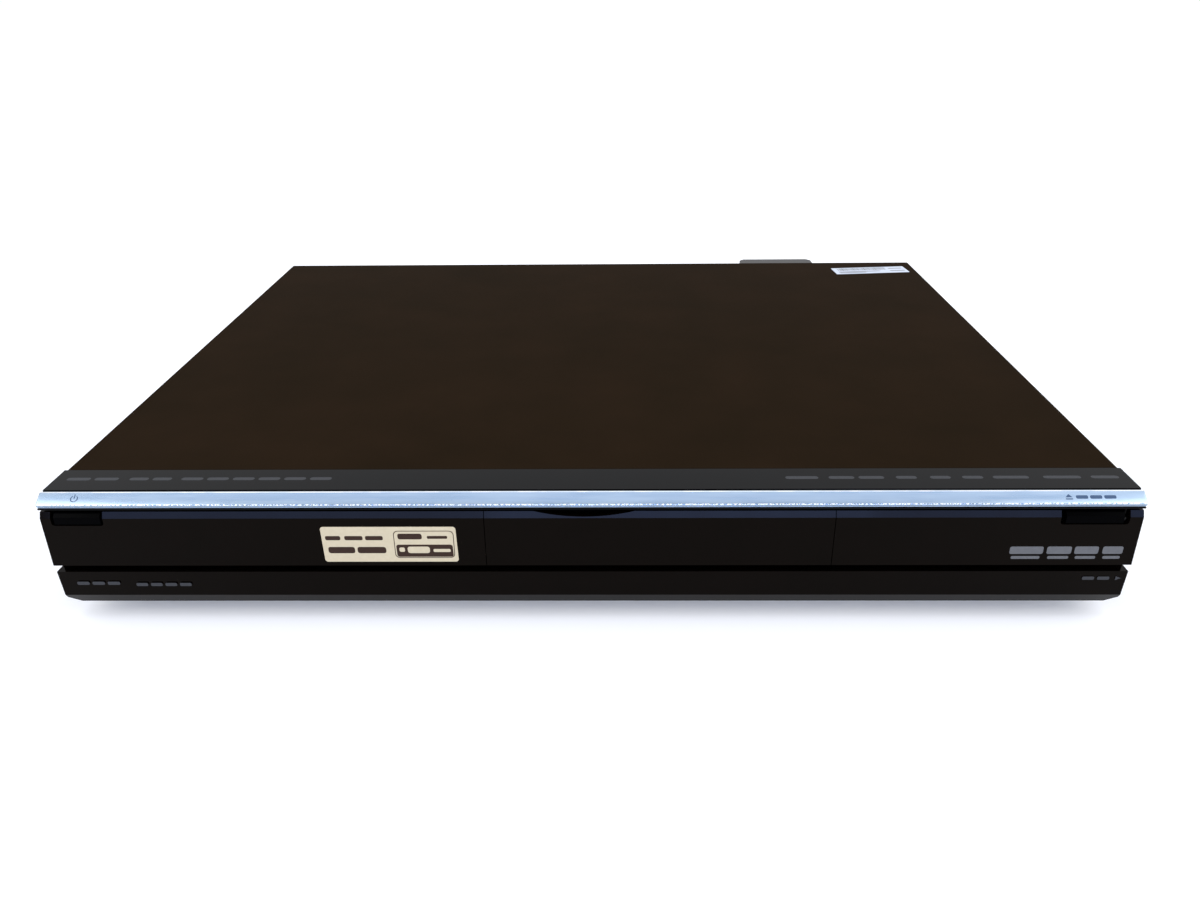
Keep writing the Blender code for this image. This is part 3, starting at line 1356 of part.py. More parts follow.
def rack_outline():
    """The rack from above: a bar with trapezoid teeth that point to the right."""
    pitch_x = rack_pitch_x()
    pitch = TOOTH_MODULE * math.pi
    tip = pitch_x + TOOTH_MODULE
    root = pitch_x - TOOTH_MODULE * ROOT_SHARE
    half_pitch = (pitch / 2 - TOOTH_BACKLASH) / 2
    slope = math.tan(PRESSURE_ANGLE)
    half_tip = half_pitch - TOOTH_MODULE * slope
    half_root = half_pitch + TOOTH_MODULE * ROOT_SHARE * slope
    gear_y = gear_centre()[1]
    first = math.ceil((back(RACK_START) - gear_y) / pitch)
    last = math.ceil((back(RACK_START) + TRAY_TRAVEL + GEAR_BACK - RACK_START + RACK_TAIL - gear_y) / pitch)
    points = []
    for i in range(first, last):
        y = gear_y + (i + HALF_SHARE) * pitch
        points += [(root, y - half_root), (tip, y - half_tip), (tip, y + half_tip), (root, y + half_root)]
    end = points[-1][1] + half_root
    start = points[0][1] - half_root
    spine = root - RACK_WALL
    return [(spine, start), (root, start), *points, (root, end), (spine, end)]


ROOT_SHARE = 1.25
HALF_SHARE = 0.5
RACK_TAIL = 0.0080


def make_disc_tray():
    tray = plan_plate("disc_tray", tray_outline(), TRAY_BOTTOM, TRAY_TOP)
    centre_y = back(SPINDLE_BACK)
    floor = TRAY_TOP - TRAY_RECESS
    recess = rods("disc_recess",
                  [((LOADER_X, centre_y, floor), (0, 0, 1), TRAY_RECESS + OVERRUN, DISC_RADIUS + DISC_ROOM)],
                   RECESS_SIDES)
    small_floor = floor - TRAY_SMALL_RECESS
    small = rods("small_recess",
                 [((LOADER_X, centre_y, small_floor), (0, 0, 1), TRAY_RECESS, SMALL_DISC_RADIUS + DISC_ROOM)],
                  RECESS_SIDES // 2)
    cut(tray, recess, small)
    pocket_top = floor - TRAY_FLOOR
    front = back(DOOR_THICK + SEAT_GAP)
    inner = TRAY_HALF_WIDTH - TRAY_RIM
    low = (LOADER_X - inner, front + WALL, TRAY_BOTTOM - OVERRUN)
    high = (LOADER_X + inner, front + TRAY_PLATE_LENGTH - WALL, pocket_top)
    cut(tray, boxes("tray_underside", [(low, high)]))
    rack_low = TRAY_BOTTOM - RACK_HEIGHT + SEAT_GAP
    join(tray, plan_plate("tray_rack", rack_outline(), rack_low, pocket_top + TRAY_FLOOR / 2))
    return finish_piece(tray, moulded_black("moulded_tray"))


INVOLUTE_STEPS = 4


def gear_outline(centre):
    """Involute teeth on base circle, tip circle one module out and root one and a quarter in."""
    pitch_radius = TOOTH_MODULE * GEAR_TEETH / 2
    base_radius = pitch_radius * math.cos(PRESSURE_ANGLE)
    tip_radius = pitch_radius + TOOTH_MODULE
    root_radius = pitch_radius - TOOTH_MODULE * ROOT_SHARE
    start_radius = max(base_radius, root_radius)
    involute_pitch = math.tan(PRESSURE_ANGLE) - PRESSURE_ANGLE
    half_tooth = (math.pi * TOOTH_MODULE / 2 - TOOTH_BACKLASH) / 2 / pitch_radius
    points = []
    for i in range(GEAR_TEETH):
        middle = math.tau * i / GEAR_TEETH
        flank = []
        for k in range(INVOLUTE_STEPS + 1):
            radius = start_radius + (tip_radius - start_radius) * k / INVOLUTE_STEPS
            roll = math.acos(min(1, base_radius / radius))
            flank.append((radius, half_tooth + involute_pitch - (math.tan(roll) - roll)))
        tooth = [(root_radius, -flank[0][1])]
        tooth += [(radius, -spread) for radius, spread in flank]
        tooth += [(radius, spread) for radius, spread in reversed(flank)]
        tooth.append((root_radius, flank[0][1]))
        points += [(centre[0] + r * math.cos(middle + t), centre[1] + r * math.sin(middle + t)) for r,
                   t in tooth]
    return points


PULLEY_STEPS = 28
MOTOR_PULLEY_STEPS = 14
PULLEY_FLANGE = 0.0008


def pulley_profile(radius, bore, height, low):
    """A grooved wheel's section as (radius, height) from its top outer edge down and back up the bore."""
    half = height / 2
    return [
        (radius, low + height),
        (radius, low + height - PULLEY_FLANGE),
        (radius - PULLEY_GROOVE, low + half),
        (radius, low + PULLEY_FLANGE),
        (radius, low),
        (bore, low),
        (bore, low + height),
    ]


def pulley_low():
    return loader_floor() + PULLEY_LIFT


def make_loading_gear():
    x, y = gear_centre()
    low = pulley_low()
    teeth_low = TRAY_BOTTOM - RACK_HEIGHT + RUN_GAP
    teeth_high = teeth_low + GEAR_HEIGHT
    gear = plan_plate("loading_gear", gear_outline((x, y)), teeth_low, teeth_high)
    foot = loader_floor() + WALL + SEAT_GAP
    profile = [
        (GEAR_HUB, teeth_low + WALL / 2),
        (GEAR_HUB, low + PULLEY_HEIGHT),
        (PULLEY_RADIUS, low + PULLEY_HEIGHT),
        (PULLEY_RADIUS, low + PULLEY_HEIGHT - PULLEY_FLANGE),
        (PULLEY_RADIUS - PULLEY_GROOVE, low + PULLEY_HEIGHT / 2),
        (PULLEY_RADIUS, low + PULLEY_FLANGE),
        (PULLEY_RADIUS, low),
        (GEAR_HUB, low),
        (GEAR_HUB, foot),
        (0, foot),
        (0, teeth_low + WALL / 2),
    ]
    profile = [profile[-1], *profile[:-1]]
    join(gear, turned("gear_hub", profile, (x, y, 0), PULLEY_STEPS))
    cut(gear,
        rods("gear_bore", [((x, y, foot - OVERRUN), (0, 0, 1), teeth_high - foot + 2 * OVERRUN, GEAR_BORE)],
              POST_SIDES))
    return finish_piece(gear, white_nylon("moulded_gear"), (x, y, 0))


def loading_motor_top():
    return loader_floor() + WALL + SEAT_GAP + LOADING_MOTOR_HEIGHT


def make_loading_motor():
    x, y = loading_motor_centre()
    low = loader_floor() + WALL + SEAT_GAP
    top = loading_motor_top()
    shaft_top = pulley_low() + PULLEY_HEIGHT
    profile = [
        (0, shaft_top),
        (MOTOR_SHAFT, shaft_top),
        (MOTOR_SHAFT, top + MOTOR_BOSS_HEIGHT),
        (MOTOR_BOSS, top + MOTOR_BOSS_HEIGHT),
        (MOTOR_BOSS, top),
        (LOADING_MOTOR_RADIUS - SHEET, top),
        (LOADING_MOTOR_RADIUS, top - SHEET),
        (LOADING_MOTOR_RADIUS, low),
        (0, low),
    ]
    motor = turned("loading_motor", profile, (x, y, 0), PULLEY_STEPS)
    return finish_piece(motor, plated_steel("plated_loading_motor"))


MOTOR_SHAFT = 0.0008
MOTOR_BOSS = 0.0026
MOTOR_BOSS_HEIGHT = 0.0006


def make_motor_pulley():
    x, y = loading_motor_centre()
    profile = pulley_profile(MOTOR_PULLEY_RADIUS, MOTOR_SHAFT + SEAT_GAP, PULLEY_HEIGHT, pulley_low())
    pulley = turned("motor_pulley", profile, (x, y, 0), MOTOR_PULLEY_STEPS)
    return finish_piece(pulley, white_nylon("moulded_motor_pulley"))


BELT_WRAP_STEPS = 14
BELT_SMALL_STEPS = 7
BELT_RESOLUTION = 1


def make_loading_belt():
    """An open belt: an arc round each pulley, joined by the two outer tangents."""
    gear_x, y = gear_centre()
    motor_x = loading_motor_centre()[0]
    flank = math.atan2(PULLEY_HEIGHT / 2 - PULLEY_FLANGE, PULLEY_GROOVE)
    clear = (BELT_RADIUS + SEAT_GAP) / math.sin(flank)
    large = PULLEY_RADIUS - PULLEY_GROOVE + clear
    small = MOTOR_PULLEY_RADIUS - PULLEY_GROOVE + clear
    lean = math.acos((large - small) / (motor_x - gear_x))
    path = arc((gear_x, y), large, lean, math.tau - lean, BELT_WRAP_STEPS)
    path += arc((motor_x, y), small, -lean, lean, BELT_SMALL_STEPS)
    curve = bpy.data.curves.new("loading_belt", "CURVE")
    curve.dimensions = "3D"
    curve.bevel_depth = BELT_RADIUS
    curve.bevel_resolution = BELT_RESOLUTION
    spline = curve.splines.new("POLY")
    spline.points.add(len(path) - 1)
    z = pulley_low() + PULLEY_HEIGHT / 2
    for point, (px, py) in zip(spline.points, path):
        point.co = (px, py, z, 1)
    spline.use_cyclic_u = True
    source = bpy.data.objects.new("loading_belt_path", curve)
    CUTTERS.objects.link(source)
    belt = mesh_of_curve(source, "loading_belt", PARTS)
    return finish_piece(belt, soft_rubber("belt_rubber"))


# Traverse with the disc motor and the pickup

def traverse_bottom():
    return DECK_Z + TRAVERSE_LIFT


def traverse_top():
    return traverse_bottom() + TRAVERSE_THICK


def rod_z():
    return traverse_top() + ROD_LIFT


TRAVERSE_WINDOW_INSET = 0.0375
TRAVERSE_WINDOW_FRONT = TRAVERSE_FRONT + TRAVERSE_WINDOW_INSET
TRAVERSE_WINDOW_REAR = 0.0235
TRAVERSE_WINDOW_LENGTH = TRAVERSE_LENGTH - TRAVERSE_WINDOW_INSET - TRAVERSE_WINDOW_REAR
TRAVERSE_WINDOW_HALF = 0.0200
TRAVERSE_CORNER = 0.0040
BLOCK_HALF = 0.0033


def rod_blocks():
    """Front and rear places of the blocks that hold the rods' ends."""
    first = back(ROD_BLOCK_FRONT)
    return first, first + ROD_SPAN


def make_traverse():
    low = (LOADER_X - TRAVERSE_LEFT, back(TRAVERSE_FRONT))
    high = (LOADER_X + TRAVERSE_RIGHT, back(TRAVERSE_FRONT) + TRAVERSE_LENGTH)
    bottom = traverse_bottom()
    top = traverse_top()
    plate = plan_plate("traverse_frame", rounded_rectangle(low, high, TRAVERSE_CORNER), bottom, top)
    window_low = (LOADER_X - TRAVERSE_WINDOW_HALF, back(TRAVERSE_WINDOW_FRONT))
    window_high = (LOADER_X + TRAVERSE_WINDOW_HALF, back(TRAVERSE_WINDOW_FRONT) + TRAVERSE_WINDOW_LENGTH)
    window = rounded_rectangle(window_low, window_high, TRAVERSE_CORNER)
    cut(plate, plan_plate("pickup_window", window, bottom - OVERRUN, top + OVERRUN))
    blocks = []
    holes = []
    first, second = rod_blocks()
    z = rod_z()
    for x in (LOADER_X - ROD_SPREAD, LOADER_X + ROD_SPREAD, LOADER_X - SCREW_SPREAD):
        half = BLOCK_HALF
        radius = ROD_RADIUS + SEAT_GAP
        for y in (first, second):
            is_motor_end = x == LOADER_X - SCREW_SPREAD and y == second
            if not is_motor_end:
                blocks.append(((x - half, y - ROD_BLOCK / 2, top - WALL / 2),
                               (x + half, y + ROD_BLOCK / 2, z + half)))
                holes.append(((x, y - OVERRUN, z), (0, 1, 0), 2 * OVERRUN, radius))
    join(plate, boxes("rod_blocks", blocks))
    cut(plate, rods("rod_holes", holes, POST_SIDES))
    axis_y, axis_z = hinge_axis()
    left, right = hinge_posts()
    pins = []
    for x, side in ((left, 1), (right, -1)):
        start = x - side * HINGE_POST / 2
        pins.append(((start, axis_y, axis_z), (side, 0, 0), HINGE_POST + RUN_GAP + WALL, HINGE_PIN))
    join(plate, rods("hinge_pins", pins, POST_SIDES))
    return finish_piece(plate, moulded_grey("moulded_traverse"), (0, axis_y, axis_z))


def make_guide_rods():
    first, second = rod_blocks()
    start = first - ROD_BLOCK / 2
    length = second - first + ROD_BLOCK
    for name, side in (("guide_rod_left", -1), ("guide_rod_right", 1)):
        x = LOADER_X + side * ROD_SPREAD
        rod = rods(name, [((x, start, rod_z()), (0, 1, 0), length, ROD_RADIUS)], POST_SIDES)
        finish_piece(rod, turned_steel(name + "_steel"))


def make_lead_screw():
    first, second = rod_blocks()
    start = first - ROD_BLOCK / 2
    x = LOADER_X - SCREW_SPREAD
    length = second - ROD_BLOCK / 2 - start
    screw = rods("lead_screw", [((x, start, rod_z()), (0, 1, 0), length, SCREW_RADIUS)], POST_SIDES)
    return finish_piece(screw, turned_steel("screw_steel"), (x, start, rod_z()))


def make_sled_motor():
    second = rod_blocks()[1]
    x = LOADER_X - SCREW_SPREAD
    start = second - ROD_BLOCK / 2 + SEAT_GAP
    motor = rods("sled_motor", [((x, start, rod_z()), (0, 1, 0), SLED_MOTOR_LENGTH, SLED_MOTOR_RADIUS)],
                 PULLEY_STEPS // 2)
    return finish_piece(motor, plated_steel("plated_sled_motor"))


def make_spindle_motor():
    low = traverse_top() + SEAT_GAP
    top = low + DISC_MOTOR_HEIGHT
    profile = [(0, top), (DISC_MOTOR_RADIUS - SHEET, top), (DISC_MOTOR_RADIUS, top - SHEET),
               (DISC_MOTOR_RADIUS, low), (0, low)]
    motor = turned("spindle_motor", profile, (LOADER_X, back(SPINDLE_BACK), 0), PULLEY_STEPS)
    return finish_piece(motor, plated_steel("plated_spindle_motor"))


def turntable_top():
    return traverse_top() + SEAT_GAP + DISC_MOTOR_HEIGHT + SEAT_GAP + TURNTABLE_THICK


TURNTABLE_LIP_SHARE = 0.78


def make_turntable():
    top = turntable_top()
    profile = [
        (0, top + TURNTABLE_CONE),
        (TURNTABLE_HUB * TURNTABLE_LIP_SHARE, top + TURNTABLE_CONE),
        (TURNTABLE_HUB, top),
        (TURNTABLE_RADIUS, top),
        (TURNTABLE_RADIUS, top - SHEET),
        (TURNTABLE_RADIUS * TURNTABLE_LIP_SHARE, top - TURNTABLE_THICK),
        (0, top - TURNTABLE_THICK),
    ]
    table = turned("turntable", profile, (LOADER_X, back(SPINDLE_BACK), 0), PULLEY_STEPS)
    return finish_piece(table, moulded_black("moulded_turntable"))


NUT_HALF = 0.0030
NUT_HALF_LENGTH = 0.0040
LENS_HOLDER_HALF = 0.0060
LENS_HOLDER_RISE = 0.0026
LENS_RISE = 0.0010
SLED_LOW_SET = 0.0028
SLED_DIP = 0.0060
SLED_DIP_HALF = 0.0120
SLED_DIP_INSET = 0.0045


def make_pickup_sled():
    lens_y = back(SPINDLE_BACK) + PICKUP_RADIUS
    z = rod_z()
    low_z = z - SLED_LOW_SET
    top_z = low_z + SLED_THICK
    low = (LOADER_X - SLED_HALF_WIDTH, lens_y - SLED_FRONT, low_z)
    sled = boxes("pickup_sled", [(low, (LOADER_X + SLED_HALF_WIDTH, lens_y + SLED_REAR, top_z))])
    bosses = []
    holes = []
    boss_start = lens_y - SLED_FRONT
    boss_length = SLED_FRONT + SLED_REAR
    for side in (-1, 1):
        x = LOADER_X + side * ROD_SPREAD
        inner = LOADER_X + side * (SLED_HALF_WIDTH - WALL)
        outer = x + side * ROD_BOSS
        bosses.append(((min(inner, outer), boss_start, z - ROD_BOSS),
                       (max(inner, outer), boss_start + boss_length, z + ROD_BOSS)))
        holes.append(((x, boss_start - OVERRUN, z), (0, 1, 0), boss_length + 2 * OVERRUN,
                      ROD_RADIUS + SEAT_GAP))
    nut_x = LOADER_X - SCREW_SPREAD
    nut_right = LOADER_X - ROD_SPREAD - ROD_BOSS + WALL / 2
    nut = ((nut_x - NUT_HALF, lens_y - NUT_HALF_LENGTH, z - NUT_HALF),
           (nut_right, lens_y + NUT_HALF_LENGTH, z + NUT_HALF))
    holes.append(((nut_x, boss_start - OVERRUN, z), (0, 1, 0), boss_length + 2 * OVERRUN,
                  SCREW_RADIUS + SEAT_GAP))
    join(sled, boxes("sled_bosses", bosses), boxes("sled_nut", [nut]))
    cut(sled, rods("sled_holes", holes, POST_SIDES))
    holder_top = top_z + LENS_HOLDER_RISE
    holder = ((LOADER_X - LENS_HOLDER_HALF, lens_y - LENS_HOLDER_HALF, top_z - WALL / 2),
              (LOADER_X + LENS_HOLDER_HALF, lens_y + LENS_HOLDER_HALF, holder_top))
    join(sled, boxes("lens_holder", [holder]))
    lens = [((LOADER_X, lens_y, holder_top - LENS_RISE), (0, 0, 1), 2 * LENS_RISE, LENS_RADIUS)]
    join(sled, rods("lens", lens, JACK_SIDES))
    dip = ((LOADER_X - SLED_DIP_HALF, lens_y - SLED_FRONT + SLED_DIP_INSET, low_z - SLED_DIP),
           (LOADER_X + SLED_DIP_HALF, lens_y + SLED_REAR - WALL, low_z + WALL / 2))
    join(sled, boxes("laser_body", [dip]))
    return finish_piece(sled, moulded_grey("cast_sled"))


# Clamp over the tray

def bridge_bottom():
    return loader_floor() + LOADER_HEIGHT + SEAT_GAP


def make_clamp_bridge():
    bottom = bridge_bottom()
    centre_y = back(SPINDLE_BACK)
    half = LOADER_HALF_WIDTH
    low = (LOADER_X - half, centre_y - BRIDGE_HALF_LENGTH)
    high = (LOADER_X + half, centre_y + BRIDGE_HALF_LENGTH)
    bridge = plan_plate("clamp_bridge", rounded_rectangle(low, high, TRAVERSE_CORNER), bottom,
                        bottom + BRIDGE_THICK)
    hole = [((LOADER_X, centre_y, bottom - OVERRUN), (0, 0, 1), BRIDGE_THICK + 2 * OVERRUN, CLAMP_HOLE)]
    cut(bridge, rods("clamp_hole", hole, RECESS_SIDES // 2))
    return finish_piece(bridge, plated_steel("plated_bridge"))


CLAMP_DISH = 0.0020


def make_clamp_puck():
    bottom = bridge_bottom()
    seat = bottom + BRIDGE_THICK + SEAT_GAP
    under = bottom - RUN_GAP
    profile = [
        (0, seat + CLAMP_FLANGE),
        (CLAMP_RADIUS, seat + CLAMP_FLANGE),
        (CLAMP_RADIUS, seat),
        (CLAMP_NECK, seat),
        (CLAMP_NECK, under),
        (CLAMP_RADIUS, under),
        (CLAMP_RADIUS, under - CLAMP_BELOW),
        (TURNTABLE_HUB + RUN_GAP, under - CLAMP_BELOW),
        (TURNTABLE_HUB, under - CLAMP_BELOW + CLAMP_DISH),
        (0, under - CLAMP_BELOW + CLAMP_DISH),
    ]
    puck = turned("clamp_puck", profile, (LOADER_X, back(SPINDLE_BACK), 0), PULLEY_STEPS)
    return finish_piece(puck, white_nylon("moulded_clamp"))


# Hard disk

DISK_X = (LOADER_X + LOADER_HALF_WIDTH + INNER_HALF - SHEET) / 2
DISK_EDGE = 0.0012


def make_hard_disk():
    low_z = DECK_Z + DISK_LIFT
    low = (DISK_X - DISK_WIDTH / 2, back(DISK_FRONT), low_z)
    high = (DISK_X + DISK_WIDTH / 2, back(DISK_FRONT) + DISK_LENGTH, low_z + DISK_HEIGHT)
    disk = boxes("hard_disk", [(low, high)])
    hub_y = back(DISK_FRONT) + DISK_LENGTH * DISK_HUB_SHARE
    top = low_z + DISK_HEIGHT
    hub = [((DISK_X, hub_y, top - DISK_EDGE), (0, 0, 1), 2 * DISK_EDGE, DISK_HUB_RADIUS)]
    groove = [((DISK_X, hub_y, top - SHEET / 2), (0, 0, 1), OVERRUN, DISK_RING_RADIUS)]
    cut(disk, rods("disk_ring", groove, RECESS_SIDES // 2))
    join(disk, rods("disk_hub", hub, PULLEY_STEPS))
    return finish_piece(disk, make_material("cast_disk", (0.35, 0.35, 0.36), 0.4, 1.0))


DISK_HUB_SHARE = 0.60
DISK_HUB_RADIUS = 0.0110
DISK_RING_RADIUS = 0.0440


def make_disk_bracket():
    """A folded bracket: the disk's bed with a foot at each side."""
    half = DISK_WIDTH / 2
    bed_top = DECK_Z + DISK_LIFT - SEAT_GAP
    bed_bottom = bed_top - BRACKET_SHEET
    foot = DECK_Z + SEAT_GAP
    inner = half - BRACKET_FOOT
    outline = [
        (DISK_X - half, foot),
        (DISK_X - inner, foot),
        (DISK_X - inner, bed_bottom),
        (DISK_X + inner, bed_bottom),
        (DISK_X + inner, foot),
        (DISK_X + half, foot),
        (DISK_X + half, foot + BRACKET_SHEET),
        (DISK_X + inner + BRACKET_SHEET, foot + BRACKET_SHEET),
        (DISK_X + inner + BRACKET_SHEET, bed_top),
        (DISK_X - inner - BRACKET_SHEET, bed_top),
        (DISK_X - inner - BRACKET_SHEET, foot + BRACKET_SHEET),
        (DISK_X - half, foot + BRACKET_SHEET),
    ]
    front = back(DISK_FRONT)
    bracket = front_plate("hard_disk_bracket", outline, front, front + DISK_LENGTH)
    return finish_piece(bracket, plated_steel("plated_bracket"))


# Fan and duct

FAN_Z = DECK_Z + FAN_ROOM_BELOW + FAN_SIZE / 2
FAN_SIDES = 32
FAN_STRUT = 0.0016
FAN_STRUTS = 3
FAN_BLADE_THICK = 0.0011
FAN_BLADE_CHORD = 0.0080
FAN_BLADE_PITCH = math.radians(38)
FAN_FLOOR = 0.0018


def fan_rear():
    return BACK_Y - 2 * SHEET - SEAT_GAP


def make_fan_frame():
    rear = fan_rear()
    front = rear - FAN_DEPTH
    half = FAN_SIZE / 2
    outline = rounded_rectangle((FAN_X - half, FAN_Z - half), (FAN_X + half, FAN_Z + half), WALL)
    frame = front_plate("fan_frame", outline, front, rear)
    bore = [((FAN_X, front - OVERRUN, FAN_Z), (0, 1, 0), FAN_DEPTH + 2 * OVERRUN, FAN_BORE)]
    cut(frame, rods("fan_bore", bore, FAN_SIDES))
    bm = bmesh.new()
    for i in range(FAN_STRUTS):
        turn = math.tau * i / FAN_STRUTS
        direction = (math.cos(turn), 0, math.sin(turn))
        add_rod(bm, (FAN_X, front + FAN_STRUT / 2, FAN_Z), direction, FAN_BORE + WALL / 4, FAN_STRUT / 2,
                POST_SIDES // 2)
    struts = object_from(mesh_from(bm, "fan_struts"), "fan_struts", CUTTERS)
    base = rods("fan_base", [((FAN_X, front, FAN_Z), (0, 1, 0), FAN_FLOOR, FAN_HUB)], FAN_SIDES)
    join(base, struts)
    bpy.context.view_layer.update()
    tool_from(struts)
    join(frame, base)
    return finish_piece(frame, moulded_black("moulded_fan_frame"))


FAN_ROTOR_LENGTH = 0.0074


def make_fan_rotor():
    front = fan_rear() - FAN_DEPTH + FAN_FLOOR + RUN_GAP
    length = FAN_ROTOR_LENGTH
    centre = Vector((FAN_X, front + length / 2, FAN_Z))
    hub_profile = [(0, length / 2), (FAN_HUB - SHEET, length / 2), (FAN_HUB, length / 2 - SHEET),
                   (FAN_HUB, -length / 2), (0, -length / 2)]
    rotor = turned("fan_rotor", hub_profile, centre, FAN_SIDES, (0, 1, 0))
    bm = bmesh.new()
    reach = (FAN_BLADE_REACH - FAN_HUB) + WALL
    for i in range(FAN_BLADES):
        made = bmesh.ops.create_cube(bm, size=1)["verts"]
        bmesh.ops.scale(bm, verts=made, vec=(reach, FAN_BLADE_CHORD, FAN_BLADE_THICK))
        bmesh.ops.rotate(bm, verts=made, matrix=Matrix.Rotation(FAN_BLADE_PITCH, 3, "X"))
        bmesh.ops.translate(bm, verts=made, vec=(FAN_BLADE_REACH - reach / 2, 0, 0))
        turn = Matrix.Rotation(math.tau * i / FAN_BLADES, 3, "Y")
        bmesh.ops.rotate(bm, verts=made, matrix=turn)
        bmesh.ops.translate(bm, verts=made, vec=centre)
    blades = object_from(mesh_from(bm, "fan_blades"), "fan_blades", CUTTERS)
    join(rotor, blades)
    return finish_piece(rotor, moulded_black("moulded_fan_rotor"))


DUCT_SLOT_RISE = 0.0050
DUCT_SLOT_MARGIN = 0.0050


def make_fan_duct():
    """The grey guard that stands out behind the fan: slanted corners, hollow, slotted to the rear."""
    front = BACK_Y - SHEET + SEAT_GAP
    rear = BACK_Y + DUCT_REACH
    half = DUCT_WIDTH / 2
    outline = [
        (FAN_X - half, front),
        (FAN_X + half, front),
        (FAN_X + half, rear - DUCT_CORNER),
        (FAN_X + half - DUCT_CORNER, rear),
        (FAN_X - half + DUCT_CORNER, rear),
        (FAN_X - half, rear - DUCT_CORNER),
    ]
    low = DECK_Z + SHEET
    top = BODY_HEIGHT - DUCT_TOP_DROP
    lowered_front = BACK_Y + SEAT_GAP
    body_outline = [(x, max(y, lowered_front)) for x, y in outline]
    duct = plan_plate("fan_duct", body_outline, low, top)
    inner = half - WALL
    pocket = ((FAN_X - inner, front - OVERRUN, low + WALL), (FAN_X + inner, rear - WALL, top - WALL))
    cut(duct, boxes("duct_inside", [pocket]))
    room = top - low - 2 * DUCT_SLOT_RISE
    pitch = room / DUCT_SLOTS
    slots = []
    slot_half = half - DUCT_SLOT_MARGIN
    for i in range(DUCT_SLOTS):
        z = low + DUCT_SLOT_RISE + pitch * i + pitch * (1 - DUCT_SLOT_SHARE) / 2
        slots.append(((FAN_X - slot_half, rear - WALL - OVERRUN / 2, z),
                      (FAN_X + slot_half, rear + OVERRUN, z + pitch * DUCT_SLOT_SHARE)))
    cut(duct, boxes("duct_slots", slots))
    collar_top = BODY_HEIGHT - SHEET - SEAT_GAP
    collar_outer = ((FAN_X - half + RUN_GAP, BACK_Y - SHEET + SEAT_GAP, low + RUN_GAP),
                    (FAN_X + half - RUN_GAP, lowered_front + SHEET, collar_top))
    collar_inner = ((FAN_X - inner, front - OVERRUN, low + WALL),
                    (FAN_X + inner, lowered_front + OVERRUN, top - WALL))
    collar = boxes("duct_collar", [collar_outer])
    cut(collar, boxes("duct_collar_inside", [collar_inner]))
    join(duct, collar)
    return finish_piece(duct, moulded_grey("moulded_duct"))


# Sockets at the back

INLET_RISE = 0.0150
INLET_Z = DECK_Z + INLET_RISE
INLET_HALF_X = 0.0135
INLET_HALF_Z = 0.0095
INLET_CAVITY_HALF_X = 0.0078
INLET_CAVITY_RADIUS = 0.0040
INLET_CAVITY_DEPTH = 0.0110
INLET_PIN = 0.0011
INLET_PIN_SPREAD = 0.0043
LAN_RISE = 0.0160
LAN_Z = DECK_Z + LAN_RISE
LAN_HALF_X = 0.0080
LAN_HALF_Z = 0.0068
LAN_CAVITY_HALF_X = 0.0059
LAN_CAVITY_HALF_Z = 0.0043
HDMI_RISE = 0.0130
HDMI_Z = DECK_Z + HDMI_RISE
HDMI_HALF_X = 0.0082
HDMI_HALF_Z = 0.0033
HDMI_SHELL = 0.0005
HDMI_CORNER_RUN = 0.0020
HDMI_CORNER_RISE = 0.0016
OPTICAL_RISE = 0.0140
OPTICAL_Z = DECK_Z + OPTICAL_RISE
OPTICAL_HALF = 0.0048
OPTICAL_BORE = 0.0020
AERIAL_RISE = 0.0250
AERIAL_Z = DECK_Z + AERIAL_RISE
AERIAL_RADIUS = 0.0048
AERIAL_PITCH = 0.0190
AERIAL_REACH = 0.0085
AERIAL_BODY_HALF = 0.0085
JACK_PITCH_X = 0.0140
JACK_PITCH_Z = 0.0140
JACK_COLUMNS = 4
JACK_ROWS = 2
JACK_LOW_RISE = 0.0150
JACK_REACH = 0.0080
JACK_BODY_MARGIN = 0.0066


def aerial_places():
    return [AERIAL_X - AERIAL_PITCH / 2, AERIAL_X + AERIAL_PITCH / 2]


def jack_places():
    first = AV_X - JACK_PITCH_X * (JACK_COLUMNS - 1) / 2
    low = DECK_Z + JACK_LOW_RISE
    return [(first + JACK_PITCH_X * i, low + JACK_PITCH_Z * j) for j in range(JACK_ROWS)
            for i in range(JACK_COLUMNS)]


def socket_span():
    """Front and rear of a socket body that passes through the rear panel."""
    rear = BACK_Y - SHEET + SOCKET_STAND_OUT
    return rear - SOCKET_DEPTH, rear


def make_ac_inlet():
    front, rear = socket_span()
    low = (INLET_X - INLET_HALF_X, front, INLET_Z - INLET_HALF_Z)
    inlet = boxes("ac_inlet", [(low, (INLET_X + INLET_HALF_X, rear, INLET_Z + INLET_HALF_Z))])
    radius = INLET_CAVITY_RADIUS
    low_corner = (INLET_X - INLET_CAVITY_HALF_X, INLET_Z - radius)
    high_corner = (INLET_X + INLET_CAVITY_HALF_X, INLET_Z + radius)
    cavity = rounded_rectangle(low_corner, high_corner, radius - SOCKET_CLEARANCE, 4)
    cut(inlet, front_plate("inlet_cavity", cavity, rear - INLET_CAVITY_DEPTH, rear + OVERRUN))
    length = INLET_CAVITY_DEPTH - WALL + SHEET
    start = rear - INLET_CAVITY_DEPTH - SHEET
    pins = [((INLET_X + side * INLET_PIN_SPREAD, start, INLET_Z), (0, 1, 0), length, INLET_PIN)
            for side in (-1, 1)]
    join(inlet, rods("inlet_pins", pins, POST_SIDES))
    return finish_piece(inlet, moulded_black("moulded_inlet"))


